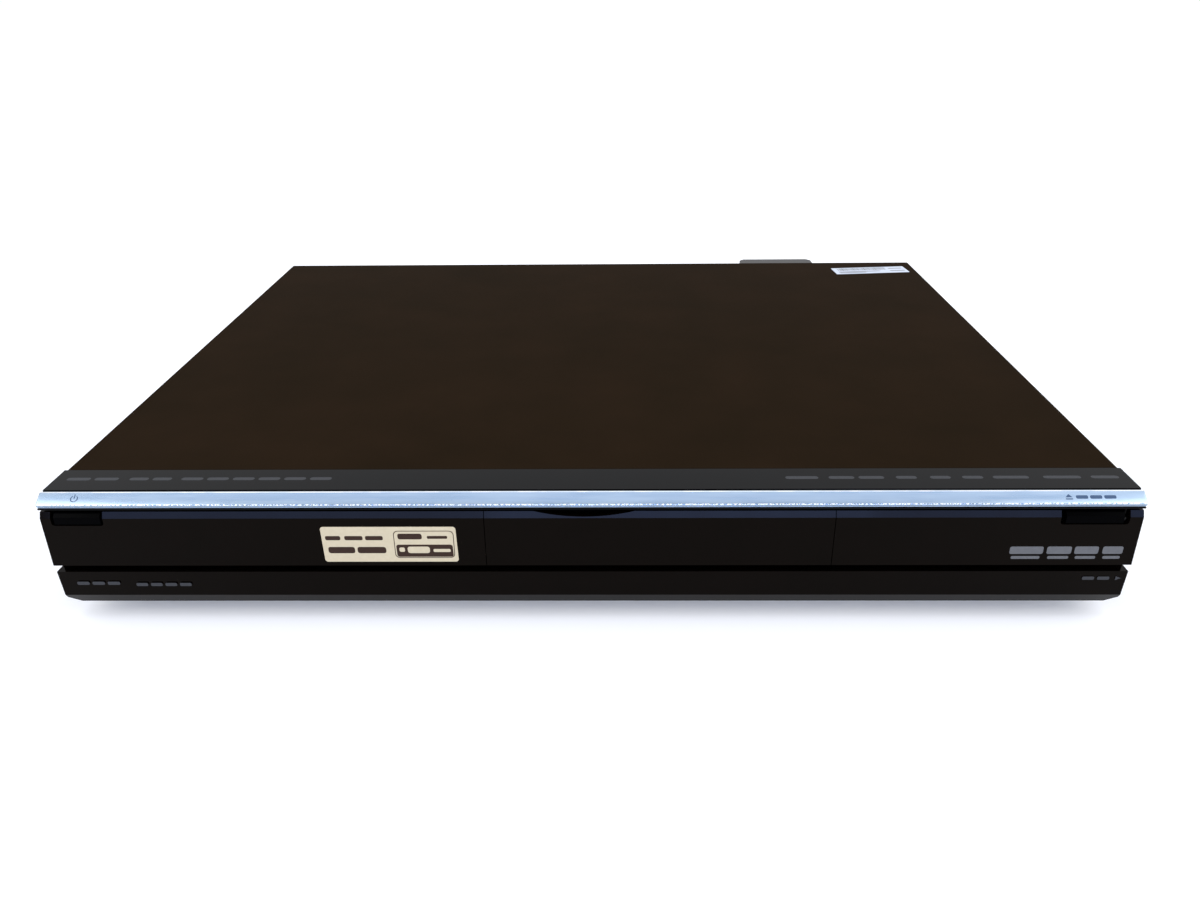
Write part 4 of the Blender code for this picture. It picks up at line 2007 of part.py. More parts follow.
def make_lan_socket():
    front, rear = socket_span()
    low = (LAN_X - LAN_HALF_X, front, LAN_Z - LAN_HALF_Z)
    socket = boxes("lan_socket", [(low, (LAN_X + LAN_HALF_X, rear, LAN_Z + LAN_HALF_Z))])
    cavity_low = (LAN_X - LAN_CAVITY_HALF_X, front + WALL, LAN_Z - LAN_CAVITY_HALF_Z)
    cavity = (cavity_low, (LAN_X + LAN_CAVITY_HALF_X, rear + OVERRUN, LAN_Z + LAN_CAVITY_HALF_Z))
    cut(socket, boxes("lan_cavity", [cavity]))
    return finish_piece(socket, plated_steel("plated_lan"))


def make_hdmi_socket():
    """A shell with two slanted lower corners round a flat tongue."""
    front, rear = socket_span()

    def trapezoid(inset):
        x = HDMI_HALF_X - inset
        z = HDMI_HALF_Z - inset
        outline = [(-x, z), (-x, -z + HDMI_CORNER_RISE), (-x + HDMI_CORNER_RUN, -z)]
        outline += [(x - HDMI_CORNER_RUN, -z), (x, -z + HDMI_CORNER_RISE), (x, z)]
        return [(HDMI_X + a, HDMI_Z + b) for a, b in outline]

    socket = front_plate("hdmi_socket", trapezoid(0), front, rear)
    cut(socket, front_plate("hdmi_cavity", trapezoid(HDMI_SHELL), front + WALL, rear + OVERRUN))
    tongue_half = HDMI_HALF_X - HDMI_CORNER_RUN - WALL / 2
    tongue = ((HDMI_X - tongue_half, front + WALL / 2, HDMI_Z - HDMI_SHELL),
              (HDMI_X + tongue_half, rear - WALL, HDMI_Z + HDMI_SHELL))
    join(socket, boxes("hdmi_tongue", [tongue]))
    return finish_piece(socket, plated_steel("plated_hdmi"))


def make_optical_out():
    front, rear = socket_span()
    half = OPTICAL_HALF
    low = (OPTICAL_X - half, front, OPTICAL_Z - half)
    socket = boxes("optical_out", [(low, (OPTICAL_X + half, rear, OPTICAL_Z + half))])
    bore = [((OPTICAL_X, rear - WALL, OPTICAL_Z), (0, 1, 0), WALL + OVERRUN, OPTICAL_BORE)]
    cut(socket, rods("optical_bore", bore, POST_SIDES))
    return finish_piece(socket, moulded_black("moulded_optical"))


def make_av_jack_block():
    places = jack_places()
    rear = BACK_Y - 2 * SHEET - SEAT_GAP
    margin = JACK_BODY_MARGIN
    low = (places[0][0] - margin, rear - SOCKET_DEPTH, DECK_Z + BOARD_LIFT + BOARD_THICK + SEAT_GAP)
    high = (places[-1][0] + margin, rear, places[-1][1] + margin)
    block = boxes("av_jack_block", [(low, high)])
    length = JACK_REACH + 2 * SHEET
    barrels = [((x, rear - WALL, z), (0, 1, 0), length + WALL, JACK_RADIUS) for x, z in places]
    bores = [((x, rear + length - JACK_REACH, z), (0, 1, 0), JACK_REACH + OVERRUN, JACK_BORE) for x,
             z in places]
    join(block, rods("jack_barrels", barrels, JACK_SIDES))
    cut(block, rods("jack_bores", bores, JACK_SIDES // 2))
    return finish_piece(block, moulded_black("moulded_jack_block"))


def make_aerial_block():
    places = aerial_places()
    rear = BACK_Y - 2 * SHEET - SEAT_GAP
    half = AERIAL_BODY_HALF
    low = (places[0] - half, rear - SOCKET_DEPTH, AERIAL_Z - half)
    block = boxes("aerial_block", [(low, (places[-1] + half, rear, AERIAL_Z + half))])
    length = AERIAL_REACH + 2 * SHEET
    barrels = [((x, rear - WALL, AERIAL_Z), (0, 1, 0), length + WALL, AERIAL_RADIUS) for x in places]
    bores = [((x, rear + length - AERIAL_REACH, AERIAL_Z), (0, 1, 0), AERIAL_REACH + OVERRUN, JACK_BORE)
             for x in places]
    join(block, rods("aerial_barrels", barrels, JACK_SIDES))
    cut(block, rods("aerial_bores", bores, JACK_SIDES // 2))
    return finish_piece(block, plated_steel("plated_aerial"))


# Main and power boards

BOARD_REAR_GAP = 0.0006
STANDOFF_RADIUS = 0.0030
STANDOFF_INSET = 0.0060
CHIP_HEIGHT = 0.0022
CHIP_HALF = 0.0140
SINK_HALF = 0.0200
SINK_BASE = 0.0025
SINK_FIN = 0.0100
SINK_FIN_THICK = 0.0012
SINK_FINS = 7
CAPACITOR_RADIUS = 0.0110
CAPACITOR_HEIGHT = 0.0300
SMALL_CAPACITOR_RADIUS = 0.0050
SMALL_CAPACITOR_HEIGHT = 0.0150
TRANSFORMER_HALF = 0.0150
TRANSFORMER_HEIGHT = 0.0240


def board_with_standoffs(name, low_x, high_x, length, rear):
    """A board on four stand-offs that reach down to the base."""
    low_z = DECK_Z + BOARD_LIFT
    low = (low_x, rear - length, low_z)
    board = boxes(name, [(low, (high_x, rear, low_z + BOARD_THICK))])
    foot = DECK_Z + SEAT_GAP
    legs = []
    for x in (low_x + STANDOFF_INSET, high_x - STANDOFF_INSET):
        for y in (rear - length + STANDOFF_INSET, rear - STANDOFF_INSET):
            legs.append(((x, y, foot), (0, 0, 1), low_z - foot + BOARD_THICK / 2, STANDOFF_RADIUS))
    join(board, rods(name + "_standoffs", legs, POST_SIDES // 2))
    return board


def make_main_board():
    rear = BACK_Y - 2 * SHEET - SEAT_GAP - BOARD_REAR_GAP
    board = board_with_standoffs("main_board", MAIN_BOARD_LEFT, MAIN_BOARD_RIGHT, MAIN_BOARD_LENGTH, rear)
    top = DECK_Z + BOARD_LIFT + BOARD_THICK
    middle_x = (MAIN_BOARD_LEFT + MAIN_BOARD_RIGHT) / 2
    middle_y = rear - MAIN_BOARD_LENGTH * CHIP_BACK_SHARE
    sunk = BOARD_THICK / 2
    sink_low = (middle_x - SINK_HALF, middle_y - SINK_HALF, top - sunk)
    sink = boxes("sink_base", [(sink_low, (middle_x + SINK_HALF, middle_y + SINK_HALF, top + SINK_BASE))])
    pitch = (2 * SINK_HALF - SINK_FIN_THICK) / (SINK_FINS - 1)
    fins = []
    for i in range(SINK_FINS):
        x = middle_x - SINK_HALF + i * pitch
        fins.append(((x, middle_y - SINK_HALF, top + SINK_BASE / 2),
                     (x + SINK_FIN_THICK, middle_y + SINK_HALF, top + SINK_BASE + SINK_FIN)))
    join(board, sink, boxes("sink_fins", fins))
    chips = []
    for share in (CHIP_LEFT_SHARE, CHIP_RIGHT_SHARE):
        x = MAIN_BOARD_LEFT + (MAIN_BOARD_RIGHT - MAIN_BOARD_LEFT) * share
        chips.append(((x - CHIP_HALF, middle_y - CHIP_HALF, top - sunk),
                      (x + CHIP_HALF, middle_y + CHIP_HALF, top + CHIP_HEIGHT)))
    join(board, boxes("board_chips", chips))
    return finish_piece(board, circuit_green("main_board_green"))


CHIP_BACK_SHARE = 0.62
CHIP_LEFT_SHARE = 0.20
CHIP_RIGHT_SHARE = 0.82


def make_power_board():
    rear = BACK_Y - 2 * SHEET - SEAT_GAP - SOCKET_DEPTH - BOARD_REAR_GAP
    board = board_with_standoffs("power_board", POWER_BOARD_LEFT, POWER_BOARD_RIGHT, POWER_BOARD_LENGTH, rear)
    top = DECK_Z + BOARD_LIFT + BOARD_THICK
    sunk = BOARD_THICK / 2
    width = POWER_BOARD_RIGHT - POWER_BOARD_LEFT
    round_parts = []
    for share_x, share_y, radius, height in CAPACITOR_SHARES:
        x = POWER_BOARD_LEFT + width * share_x
        y = rear - POWER_BOARD_LENGTH * share_y
        size = CAPACITOR_RADIUS if radius else SMALL_CAPACITOR_RADIUS
        tall = CAPACITOR_HEIGHT if height else SMALL_CAPACITOR_HEIGHT
        round_parts.append(((x, y, top - sunk), (0, 0, 1), tall + sunk, size))
    join(board, rods("capacitors", round_parts, JACK_SIDES))
    x = POWER_BOARD_LEFT + width * TRANSFORMER_X_SHARE
    y = rear - POWER_BOARD_LENGTH * TRANSFORMER_Y_SHARE
    half = TRANSFORMER_HALF
    join(board,
         boxes("transformer", [((x - half, y - half, top - sunk),
                                 (x + half, y + half, top + TRANSFORMER_HEIGHT))]))
    return finish_piece(board, circuit_green("power_board_green"))


# Each row: place across, place forward, whether wide, whether tall
CAPACITOR_SHARES = ((0.28, 0.22, 1, 1), (0.70, 0.62, 0, 0), (0.70, 0.72, 0, 0), (0.70, 0.82, 0, 0),
                    (0.30, 0.84, 0, 0))
TRANSFORMER_X_SHARE = 0.42
TRANSFORMER_Y_SHARE = 0.50


def build_recorder():
    make_chassis_base()
    make_rear_panel()
    make_top_cover()
    make_feet()
    make_front_frame()
    make_trim_strip()
    make_display_window()
    make_lower_panel()
    make_tray_front()
    make_flap()
    make_control_bay()
    make_card_slot()
    make_usb_socket()
    make_front_av_jacks()
    large_key("power_key", POWER_KEY_X, POWER_KEY_WIDTH)
    large_key("eject_key", EJECT_KEY_X, EJECT_KEY_WIDTH)
    for name, x in zip(SMALL_KEY_NAMES, small_key_places()):
        small_key(name, x)
    make_front_board()
    make_key_board()
    make_display_tube()
    make_loader_chassis()
    make_disc_tray()
    make_loading_gear()
    make_loading_motor()
    make_motor_pulley()
    make_loading_belt()
    make_traverse()
    make_guide_rods()
    make_lead_screw()
    make_sled_motor()
    make_spindle_motor()
    make_turntable()
    make_pickup_sled()
    make_clamp_bridge()
    make_clamp_puck()
    make_hard_disk()
    make_disk_bracket()
    make_fan_frame()
    make_fan_rotor()
    make_fan_duct()
    make_ac_inlet()
    make_lan_socket()
    make_hdmi_socket()
    make_optical_out()
    make_av_jack_block()
    make_aerial_block()
    make_main_board()
    make_power_board()


build_recorder()
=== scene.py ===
import json
import math
import bmesh
import bpy
import numpy as np
from mathutils import Matrix, Vector


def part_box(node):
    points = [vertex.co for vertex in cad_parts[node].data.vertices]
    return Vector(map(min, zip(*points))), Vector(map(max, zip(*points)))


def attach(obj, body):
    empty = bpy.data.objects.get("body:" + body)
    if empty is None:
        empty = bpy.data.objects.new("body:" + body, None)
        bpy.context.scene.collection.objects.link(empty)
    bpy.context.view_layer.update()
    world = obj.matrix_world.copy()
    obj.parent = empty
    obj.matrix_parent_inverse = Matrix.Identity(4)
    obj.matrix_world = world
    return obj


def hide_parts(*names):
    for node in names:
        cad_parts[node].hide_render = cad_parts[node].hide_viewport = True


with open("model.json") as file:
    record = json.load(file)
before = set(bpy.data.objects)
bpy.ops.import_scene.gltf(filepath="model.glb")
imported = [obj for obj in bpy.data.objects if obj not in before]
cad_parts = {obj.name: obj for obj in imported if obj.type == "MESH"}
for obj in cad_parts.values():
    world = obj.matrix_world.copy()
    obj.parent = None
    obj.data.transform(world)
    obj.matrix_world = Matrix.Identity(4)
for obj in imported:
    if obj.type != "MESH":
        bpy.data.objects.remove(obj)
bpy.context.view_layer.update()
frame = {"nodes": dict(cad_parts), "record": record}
nodes = frame["nodes"]
mm = 0.001
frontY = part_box("tray_front")[0][1]        # the front plane of the doors
print("frame loaded:", len(nodes), "nodes")


# Camera: a pinhole camera fitted to the corners that the photograph shows

cameraView = {
    "place": (0.0109, -0.5066, 0.2394),    # metres, in the part's frame
    "yaw": -0.975, "pitch": 25.82, "roll": -0.572,
    "focal": 980.0, "width": 1200.0,       # pixels of the 1200 x 900 photograph
}


def makeCamera(values):
    # forward from yaw and pitch, right level, up across both, then rolled about forward
    yaw, pitch, roll = (math.radians(values[key]) for key in ("yaw", "pitch", "roll"))
    forward = Vector((math.sin(yaw) * math.cos(pitch), math.cos(yaw) * math.cos(pitch), -math.sin(pitch)))
    right = Vector((math.cos(yaw), -math.sin(yaw), 0))
    up = right.cross(forward)
    turnedRight = math.cos(roll) * right + math.sin(roll) * up
    turnedUp = -math.sin(roll) * right + math.cos(roll) * up
    data = bpy.data.cameras.new("photoCamera")
    data.sensor_width = 36
    data.lens = 36 * values["focal"] / values["width"]
    data.clip_start = 0.01
    camera = bpy.data.objects.new("photoCamera", data)
    turn = Matrix((turnedRight, turnedUp, -forward)).transposed().to_4x4()
    camera.matrix_world = Matrix.Translation(values["place"]) @ turn
    bpy.context.collection.objects.link(camera)
    bpy.context.scene.camera = camera


makeCamera(cameraView)


# Shapes worked out on grids

def meshObject(name, points, quads):
    # corner places and four-cornered faces, as whole arrays, into one mesh
    mesh = bpy.data.meshes.new(name)
    mesh.vertices.add(len(points))
    mesh.vertices.foreach_set("co", np.asarray(points, dtype=np.float32).ravel())
    quads = np.asarray(quads, dtype=np.int32)
    mesh.loops.add(quads.size)
    mesh.loops.foreach_set("vertex_index", quads.ravel())
    mesh.polygons.add(len(quads))
    mesh.polygons.foreach_set("loop_start", np.arange(0, quads.size, 4, dtype=np.int32))
    mesh.update(calc_edges=True)
    mesh.validate()
    mesh.polygons.foreach_set("use_smooth", [True] * len(mesh.polygons))
    made = bpy.data.objects.new(name, mesh)
    bpy.context.collection.objects.link(made)
    return made


def gridQuads(rows, columns, wrapRows=False, wrapColumns=False):
    # each cell of a rows x columns grid, with its corners in turn; a wrapped side joins its own start
    i = np.arange(rows if wrapRows else rows - 1)[:, None]
    j = np.arange(columns if wrapColumns else columns - 1)[None, :]
    nextI, nextJ = (i + 1) % rows, (j + 1) % columns
    corners = np.stack(np.broadcast_arrays(i * columns + j, nextI * columns + j, nextI * columns + nextJ,
                                           i * columns + nextJ), axis=-1)
    return corners.reshape(-1, 4)


def joinGrids(parts):
    # several (points, quads) lists as one, each list's numbers moved on by the points before it
    counts = np.cumsum([0] + [len(points) for points, quads in parts[:-1]])
    return np.concatenate([p for p, q in parts]), np.concatenate([q + n for (p, q), n in zip(parts, counts)])


def roundedOutline(width, height, radius, steps=6):
    # a rectangle about 0,0 whose corners are quarter circles, as an (n, 2) loop that turns left
    angles = np.linspace(0, np.pi / 2, steps)
    quarter = np.stack([np.cos(angles), np.sin(angles)], axis=-1) * radius
    a, b = width / 2 - radius, height / 2 - radius
    turns = [np.array([[c, -s], [s, c]]) for c, s in ((1, 0), (0, 1), (-1, 0), (0, -1))]
    centres = ((a, b), (-a, b), (-a, -b), (a, -b))
    return np.concatenate([quarter @ t.T + np.array(centre) for t, centre in zip(turns, centres)])


def plateGrid(outline, thick, edge=0.3):
    # an outline carried through five rings: a point under, the foot, the wall, the shrunk top and its middle
    centre = outline.mean(axis=0)
    inner = centre + (outline - centre) * (1 - edge * thick / np.abs(outline - centre).max())
    rings = [(centre + (outline - centre) * 0, 0.0), (outline, 0.0), (outline, thick * 0.7), (inner, thick),
             (centre + (inner - centre) * 0, thick)]
    points = np.concatenate([np.column_stack([ring, np.full(len(ring), z)]) for ring, z in rings])
    return points, gridQuads(len(rings), len(outline), wrapColumns=True)[:, ::-1]


def ringGrid(outer, inner, thick, steps, start, end):
    # an open flat ring: four corners of its section turned about the middle, and a face at each end
    angles = np.linspace(start, end, steps)
    section = np.array([(inner, 0), (outer, 0), (outer, thick), (inner, thick)])
    points = np.stack([np.outer(np.cos(angles), section[:, 0]), np.outer(np.sin(angles), section[:, 0]),
                       np.tile(section[:, 1], (len(angles), 1))], axis=-1).reshape(-1, 3)
    ends = np.array([[0, 1, 2, 3], [-1, -2, -3, -4]]) % len(points)
    return points, np.concatenate([gridQuads(steps, 4, wrapColumns=True), ends])[:, ::-1]


def placed(part, origin, across, upward):
    # points (a, b, c) go to origin + a * across + b * upward + c * (across x upward)
    points, quads = part
    across, upward = np.array(across, float), np.array(upward, float)
    out = np.cross(across, upward)
    return points[:, :1] * across + points[:, 1:2] * upward + points[:, 2:] * out + np.array(origin), quads


def shifted(part, a, b):
    return part[0] + np.array([a, b, 0]), part[1]


def turnedGrid(profile, steps):
    # a closed loop of (radius, height) turned about the upright axis
    angles = np.linspace(0, 2 * np.pi, steps, endpoint=False)
    points = np.stack([np.outer(profile[:, 0], np.cos(angles)), np.outer(profile[:, 0], np.sin(angles)),
                       np.tile(profile[:, 1:], (1, steps))], axis=-1).reshape(-1, 3)
    return points, gridQuads(len(profile), steps, wrapRows=True, wrapColumns=True)


def finished(made, material, body):
    # colour, body and slot of a new piece; its normals are made to point outwards
    work = bmesh.new()
    work.from_mesh(made.data)
    bmesh.ops.remove_doubles(work, verts=work.verts, dist=1e-7)
    bmesh.ops.recalc_face_normals(work, faces=work.faces)
    work.to_mesh(made.data)
    work.free()
    made.data.materials.append(material)
    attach(made, body)
    return made


def sharpened(made, angle=35):
    # faces stay smooth where they bend less than the angle
    made.data.set_sharp_from_angle(angle=math.radians(angle))
    return made


rightward, leftward, backward, upright = (1, 0, 0), (-1, 0, 0), (0, 1, 0), (0, 0, 1)
inkThick = 0.03      # mm, of every print
touch = 0.005        # mm, how far a print is sunk into its ground


def stuckOn(name, parts, origin, across, upward, material, body):
    # flat pieces laid on one face, as one object
    made = meshObject(name, *joinGrids([placed(part, origin, across, upward) for part in parts]))
    sharpened(finished(made, material, body))


def barRow(middle, width, up, longest, gap, height, radius):
    # short rounded bars that fill a span, in place of printing
    count = max(1, int(width // longest))
    step = width / count
    bar = plateGrid(roundedOutline(step - gap, height, radius, 3) * mm, inkThick * mm)
    return [shifted(bar, (middle - width / 2 + (i + 0.5) * step) * mm, up * mm) for i in range(count)]


# Materials

def toLinear(hexColour):
    # sRGB hex to linear red, green, blue
    values = [int(hexColour[i:i + 2], 16) / 255 for i in (1, 3, 5)]
    return tuple(v / 12.92 if v <= 0.04045 else ((v + 0.055) / 1.055) ** 2.4 for v in values) + (1.0,)


def addNode(tree, kind, settings=None, inputs=None, links=None):
    node = tree.nodes.new(kind)
    for key, value in (settings or {}).items():
        setattr(node, key, value)
    for key, value in (inputs or {}).items():
        node.inputs[key].default_value = value
    for key, source in (links or {}).items():
        tree.links.new(source, node.inputs[key])
    return node


def newMaterial(name, **sockets):
    # an empty material with its shader, whose fixed values are set on its own sockets
    material = bpy.data.materials.new(name)
    material.use_nodes = True
    tree = material.node_tree
    tree.nodes.clear()
    shader = addNode(tree, "ShaderNodeBsdfPrincipled", inputs=sockets)
    addNode(tree, "ShaderNodeOutputMaterial", links={"Surface": shader.outputs["BSDF"]})
    place = addNode(tree, "ShaderNodeTexCoord")
    return material, tree, shader, place.outputs["Object"]


def surfaced(tree, shader, tone, shades, wear, roughness, relief=None, strength=0.3, depth=0.05):
    # colour runs between two shades with one pattern, roughness between two values with a second, and relief
    # follows a third
    colour = addNode(tree, "ShaderNodeMix", {"data_type": "RGBA"},
                     {6: toLinear(shades[0]), 7: toLinear(shades[1])}, {0: tone})
    rough = addNode(tree, "ShaderNodeMapRange", inputs={"To Min": roughness[0], "To Max": roughness[1]},
                    links={"Value": wear})
    tree.links.new(colour.outputs[2], shader.inputs["Base Color"])
    tree.links.new(rough.outputs["Result"], shader.inputs["Roughness"])
    if relief:
        bump = addNode(tree, "ShaderNodeBump", inputs={"Strength": strength, "Distance": depth * mm},
                       links={"Height": relief})
        tree.links.new(bump.outputs["Normal"], shader.inputs["Normal"])


def powderPaintedSteel():
    # steel sheet under a matt powder paint: a very dark warm brown with an orange-peel grain of about 0.5 mm
    material, tree, shader, place = newMaterial("powderPaintedSteel",
                                                **{"Specular IOR Level": 0.002, "IOR": 1.5})
    cloud = addNode(tree, "ShaderNodeTexNoise", inputs={"Scale": 1 / (40 * mm), "Detail": 3.0},
                    links={"Vector": place})
    grain = addNode(tree, "ShaderNodeTexNoise", inputs={"Scale": 1 / (0.55 * mm), "Detail": 2.0},
                    links={"Vector": place})
    surfaced(tree, shader, cloud.outputs["Fac"], ("#1c150c", "#261b11"), grain.outputs["Fac"], (0.40, 0.52),
             grain.outputs["Fac"], 0.35, 0.06)
    return material


def glossBlack(name, dark, light, shine, tint, size, low, high):
    # ABS moulded in a polished tool: nearly a black mirror, with the faintest haze some millimetres across
    material, tree, shader, place = newMaterial(name, **{"Specular IOR Level": shine,
                                                         "Specular Tint": toLinear(tint), "IOR": 1.5})
    haze = addNode(tree, "ShaderNodeTexNoise", inputs={"Scale": 1 / (size * mm), "Detail": 4.0},
                   links={"Vector": place})
    surfaced(tree, shader, haze.outputs["Fac"], (dark, light), haze.outputs["Fac"], (low, high))
    return material


def brushedAluminium():
    # clear-anodised aluminium brushed along its length: hairlines of about 0.1 mm, drawn 0.25 mm to show, under slow
    # waves; both shades carry a blue cast, a painted reflection of blue light
    material, tree, shader, place = newMaterial("brushedAnodisedAluminium", Metallic=1.0, Anisotropic=0.5)
    along = addNode(tree, "ShaderNodeMapping", inputs={"Scale": (0.012, 1, 1)}, links={"Vector": place})
    lines = addNode(tree, "ShaderNodeTexNoise", inputs={"Scale": 1 / (0.25 * mm), "Detail": 3.0},
                    links={"Vector": along.outputs["Vector"]})
    slow = addNode(tree, "ShaderNodeMapping", inputs={"Scale": (0.12, 1, 1)}, links={"Vector": place})
    waves = addNode(tree, "ShaderNodeTexNoise", inputs={"Scale": 1 / (3 * mm), "Detail": 2.0},
                    links={"Vector": slow.outputs["Vector"]})
    both = addNode(tree, "ShaderNodeMath", {"operation": "MULTIPLY_ADD"}, {1: 0.4},
                   {0: lines.outputs["Fac"], 2: waves.outputs["Fac"]})
    surfaced(tree, shader, both.outputs["Value"], ("#7a91ab", "#a5b6c6"), waves.outputs["Fac"], (0.22, 0.34),
             lines.outputs["Fac"], 0.10, 0.02)
    return material


def paintedHighlightAluminium(name, dark, light, size):
    # the bar's thin edge strips, bare and mirror bright metal whose near-white colour is painted light: a painted
    # highlight along the crest, and painted glints, white specks on blue-grey, along the nose
    material, tree, shader, place = newMaterial(name, Metallic=1.0)
    paintedGlints = addNode(tree, "ShaderNodeTexNoise", inputs={"Scale": 1 / (size * mm), "Detail": 1.0},
                    links={"Vector": place})
    # the sharpened pattern sets white specks on the darker shade: painted glints
    sharper = addNode(tree, "ShaderNodeMapRange", inputs={"From Min": 0.42, "From Max": 0.58},
                      links={"Value": paintedGlints.outputs["Fac"]})
    surfaced(tree, shader, sharper.outputs["Result"], (dark, light), paintedGlints.outputs["Fac"], (0.10, 0.2))
    return material


def zincPlatedSteel():
    # zinc-plated sheet: a cool grey metal with soft-edged crystals about 2.5 mm across
    material, tree, shader, place = newMaterial("zincPlatedSteel", Metallic=1.0)
    crystals = addNode(tree, "ShaderNodeTexVoronoi", inputs={"Scale": 1 / (2.5 * mm)}, links={"Vector": place})
    shade = addNode(tree, "ShaderNodeSeparateColor", links={"Color": crystals.outputs["Color"]})
    fine = addNode(tree, "ShaderNodeTexNoise", inputs={"Scale": 1 / (0.8 * mm), "Detail": 3.0},
                   links={"Vector": place})
    surfaced(tree, shader, shade.outputs["Red"], ("#a6a8aa", "#b3b5b7"), shade.outputs["Red"], (0.34, 0.46),
             fine.outputs["Fac"], 0.15, 0.03)
    return material


def mouldedPlastic(name, dark, light, low, high, grain=0.35, depth=0.05, metal=0.0):
    # a moulding from a spark-eroded tool: even colour and a matt grain of a third of a millimetre
    material, tree, shader, place = newMaterial(name, IOR=1.5, Metallic=metal)
    pattern = addNode(tree, "ShaderNodeTexNoise", inputs={"Scale": 1 / (grain * mm), "Detail": 3.0},
                      links={"Vector": place})
    cloud = addNode(tree, "ShaderNodeTexNoise", inputs={"Scale": 1 / (14 * mm), "Detail": 2.0},
                    links={"Vector": place})
    surfaced(tree, shader, cloud.outputs["Fac"], (dark, light), pattern.outputs["Fac"], (low, high),
             pattern.outputs["Fac"], 0.3, depth)
    return material


def turnedMetal(name, dark, light, low, high):
    # drawn or turned metal: fine rings or lines of 0.4 mm across the work
    material, tree, shader, place = newMaterial(name, Metallic=1.0)
    drawn = addNode(tree, "ShaderNodeMapping", inputs={"Scale": (1, 1, 0.1)}, links={"Vector": place})
    lines = addNode(tree, "ShaderNodeTexNoise", inputs={"Scale": 1 / (0.4 * mm), "Detail": 3.0},
                    links={"Vector": drawn.outputs["Vector"]})
    surfaced(tree, shader, lines.outputs["Fac"], (dark, light), lines.outputs["Fac"], (low, high))
    return material


def maskedLaminate():
    # glass laminate under green solder mask: copper tracks about 1 mm apart show through as paler lines
    material, tree, shader, place = newMaterial("solderMaskedLaminate", IOR=1.5)
    tracks = addNode(tree, "ShaderNodeTexBrick", {"offset": 0.37, "squash": 0.6, "squash_frequency": 3},
                     {"Scale": 1 / (7 * mm), "Mortar Size": 0.06, "Brick Width": 0.9, "Row Height": 0.16},
                     {"Vector": place})
    cloud = addNode(tree, "ShaderNodeTexNoise", inputs={"Scale": 1 / (3 * mm)}, links={"Vector": place})
    surfaced(tree, shader, tracks.outputs["Fac"], ("#124d35", "#2c7a55"), cloud.outputs["Fac"], (0.3, 0.45),
             tracks.outputs["Fac"], 0.3, 0.03)
    return material


def printedPaper(name, dark, light, low=0.5, high=0.65, shine=0.5):
    # coated paper or a printed film, with a faint fibre cloud
    material, tree, shader, place = newMaterial(name, **{"IOR": 1.45, "Specular IOR Level": shine})
    fibres = addNode(tree, "ShaderNodeTexNoise", inputs={"Scale": 1 / (1.6 * mm), "Detail": 5.0},
                     links={"Vector": place})
    surfaced(tree, shader, fibres.outputs["Fac"], (dark, light), fibres.outputs["Fac"], (low, high))
    return material


paint = powderPaintedSteel()
gloss = glossBlack("polishedBlackAbs", "#030201", "#060302", 0.048, "#fff0e2", 9, 0.05, 0.10)
band = glossBlack("polishedBandAbs", "#050505", "#080809", 0.06, "#ffffff", 12, 0.08, 0.14)
keyCap = glossBlack("glossBlackKeyAbs", "#010101", "#020203", 0.012, "#ffffff", 5, 0.10, 0.16)
displayGlass = glossBlack("smokedDisplayGlass", "#0c1214", "#12191b", 0.5, "#ffffff", 20, 0.05, 0.09)
brushed = brushedAluminium()
# near white along the crest: a painted highlight
crestHighlight = paintedHighlightAluminium("paintedCrestHighlight", "#e6edf4", "#ffffff", 6.0)
# white specks on blue-grey along the nose: painted glints
noseGlints = paintedHighlightAluminium("paintedNoseGlints", "#8ea4bd", "#ffffff", 0.9)
zinc = zincPlatedSteel()
blackAbs = mouldedPlastic("mouldedBlackAbs", "#0f0f10", "#171718", 0.45, 0.62)
greyAbs = mouldedPlastic("mouldedGreyAbs", "#3a3837", "#444240", 0.5, 0.65)
nylon = mouldedPlastic("mouldedWhiteNylon", "#d4d1c8", "#e2dfd7", 0.35, 0.5, 0.6, 0.03)
rubber = mouldedPlastic("mouldedRubber", "#0d0d0d", "#161616", 0.75, 0.92, 0.5, 0.08)
castAlloy = mouldedPlastic("dieCastAluminium", "#8c8d8f", "#a2a3a5", 0.4, 0.6, 0.7, 0.08, 0.9)
laminate = maskedLaminate()
drawnSteel = turnedMetal("drawnBrightSteel", "#8f9194", "#b4b6b9", 0.22, 0.36)
nickel = turnedMetal("nickelPlatedBrass", "#9d9a90", "#c2bfb5", 0.18, 0.3)
creamPaper = printedPaper("creamStickerPaper", "#b8ac90", "#c6ba9e", 0.3, 0.42, 0.3)
whitePaper = printedPaper("whiteLabelPaper", "#c0c8d4", "#ccd3de", 0.4, 0.55, 0.3)
brownInk = printedPaper("brownPrintedInk", "#2c1d16", "#37261d", 0.4, 0.52, 0.15)
darkInk = printedPaper("darkPrintedInk", "#1b1a1d", "#262529", 0.3, 0.42, 0.15)
signInk = printedPaper("slateSignInk", "#3d4f68", "#485b75", 0.3, 0.42, 0.15)
greyInk = printedPaper("greyPrintedInk", "#58595b", "#646567", 0.4, 0.5, 0.1)
faintInk = printedPaper("faintPrintedInk", "#343537", "#3e3f42", 0.3, 0.4, 0.08)

slotMaterials = {
    "cover_paint": paint, "gloss_black": gloss, "brushed_trim": brushed, "plated_steel": zinc,
    "black_plastic": blackAbs, "grey_plastic": greyAbs, "white_nylon": nylon, "rubber": rubber,
    "circuit_board": laminate, "display_glass": displayGlass, "motor_steel": drawnSteel, "cast_alloy": castAlloy,
}
nodeMaterials = {"front_frame": band, "power_key": keyCap, "eject_key": keyCap}


def dressNodes():
    # every CAD node takes the material of its slot, or its own
    slots = {entry["node"]: entry["material_slot"] for entry in frame["record"]["subparts"]}
    for name, held in nodes.items():
        material = nodeMaterials.get(name, slotMaterials[slots[name]])
        if not held.material_slots:
            held.data.materials.append(material)
        for entry in held.material_slots:
            entry.material = material


dressNodes()
print("materials:", len(bpy.data.materials))


# The bright bar over the whole front edge

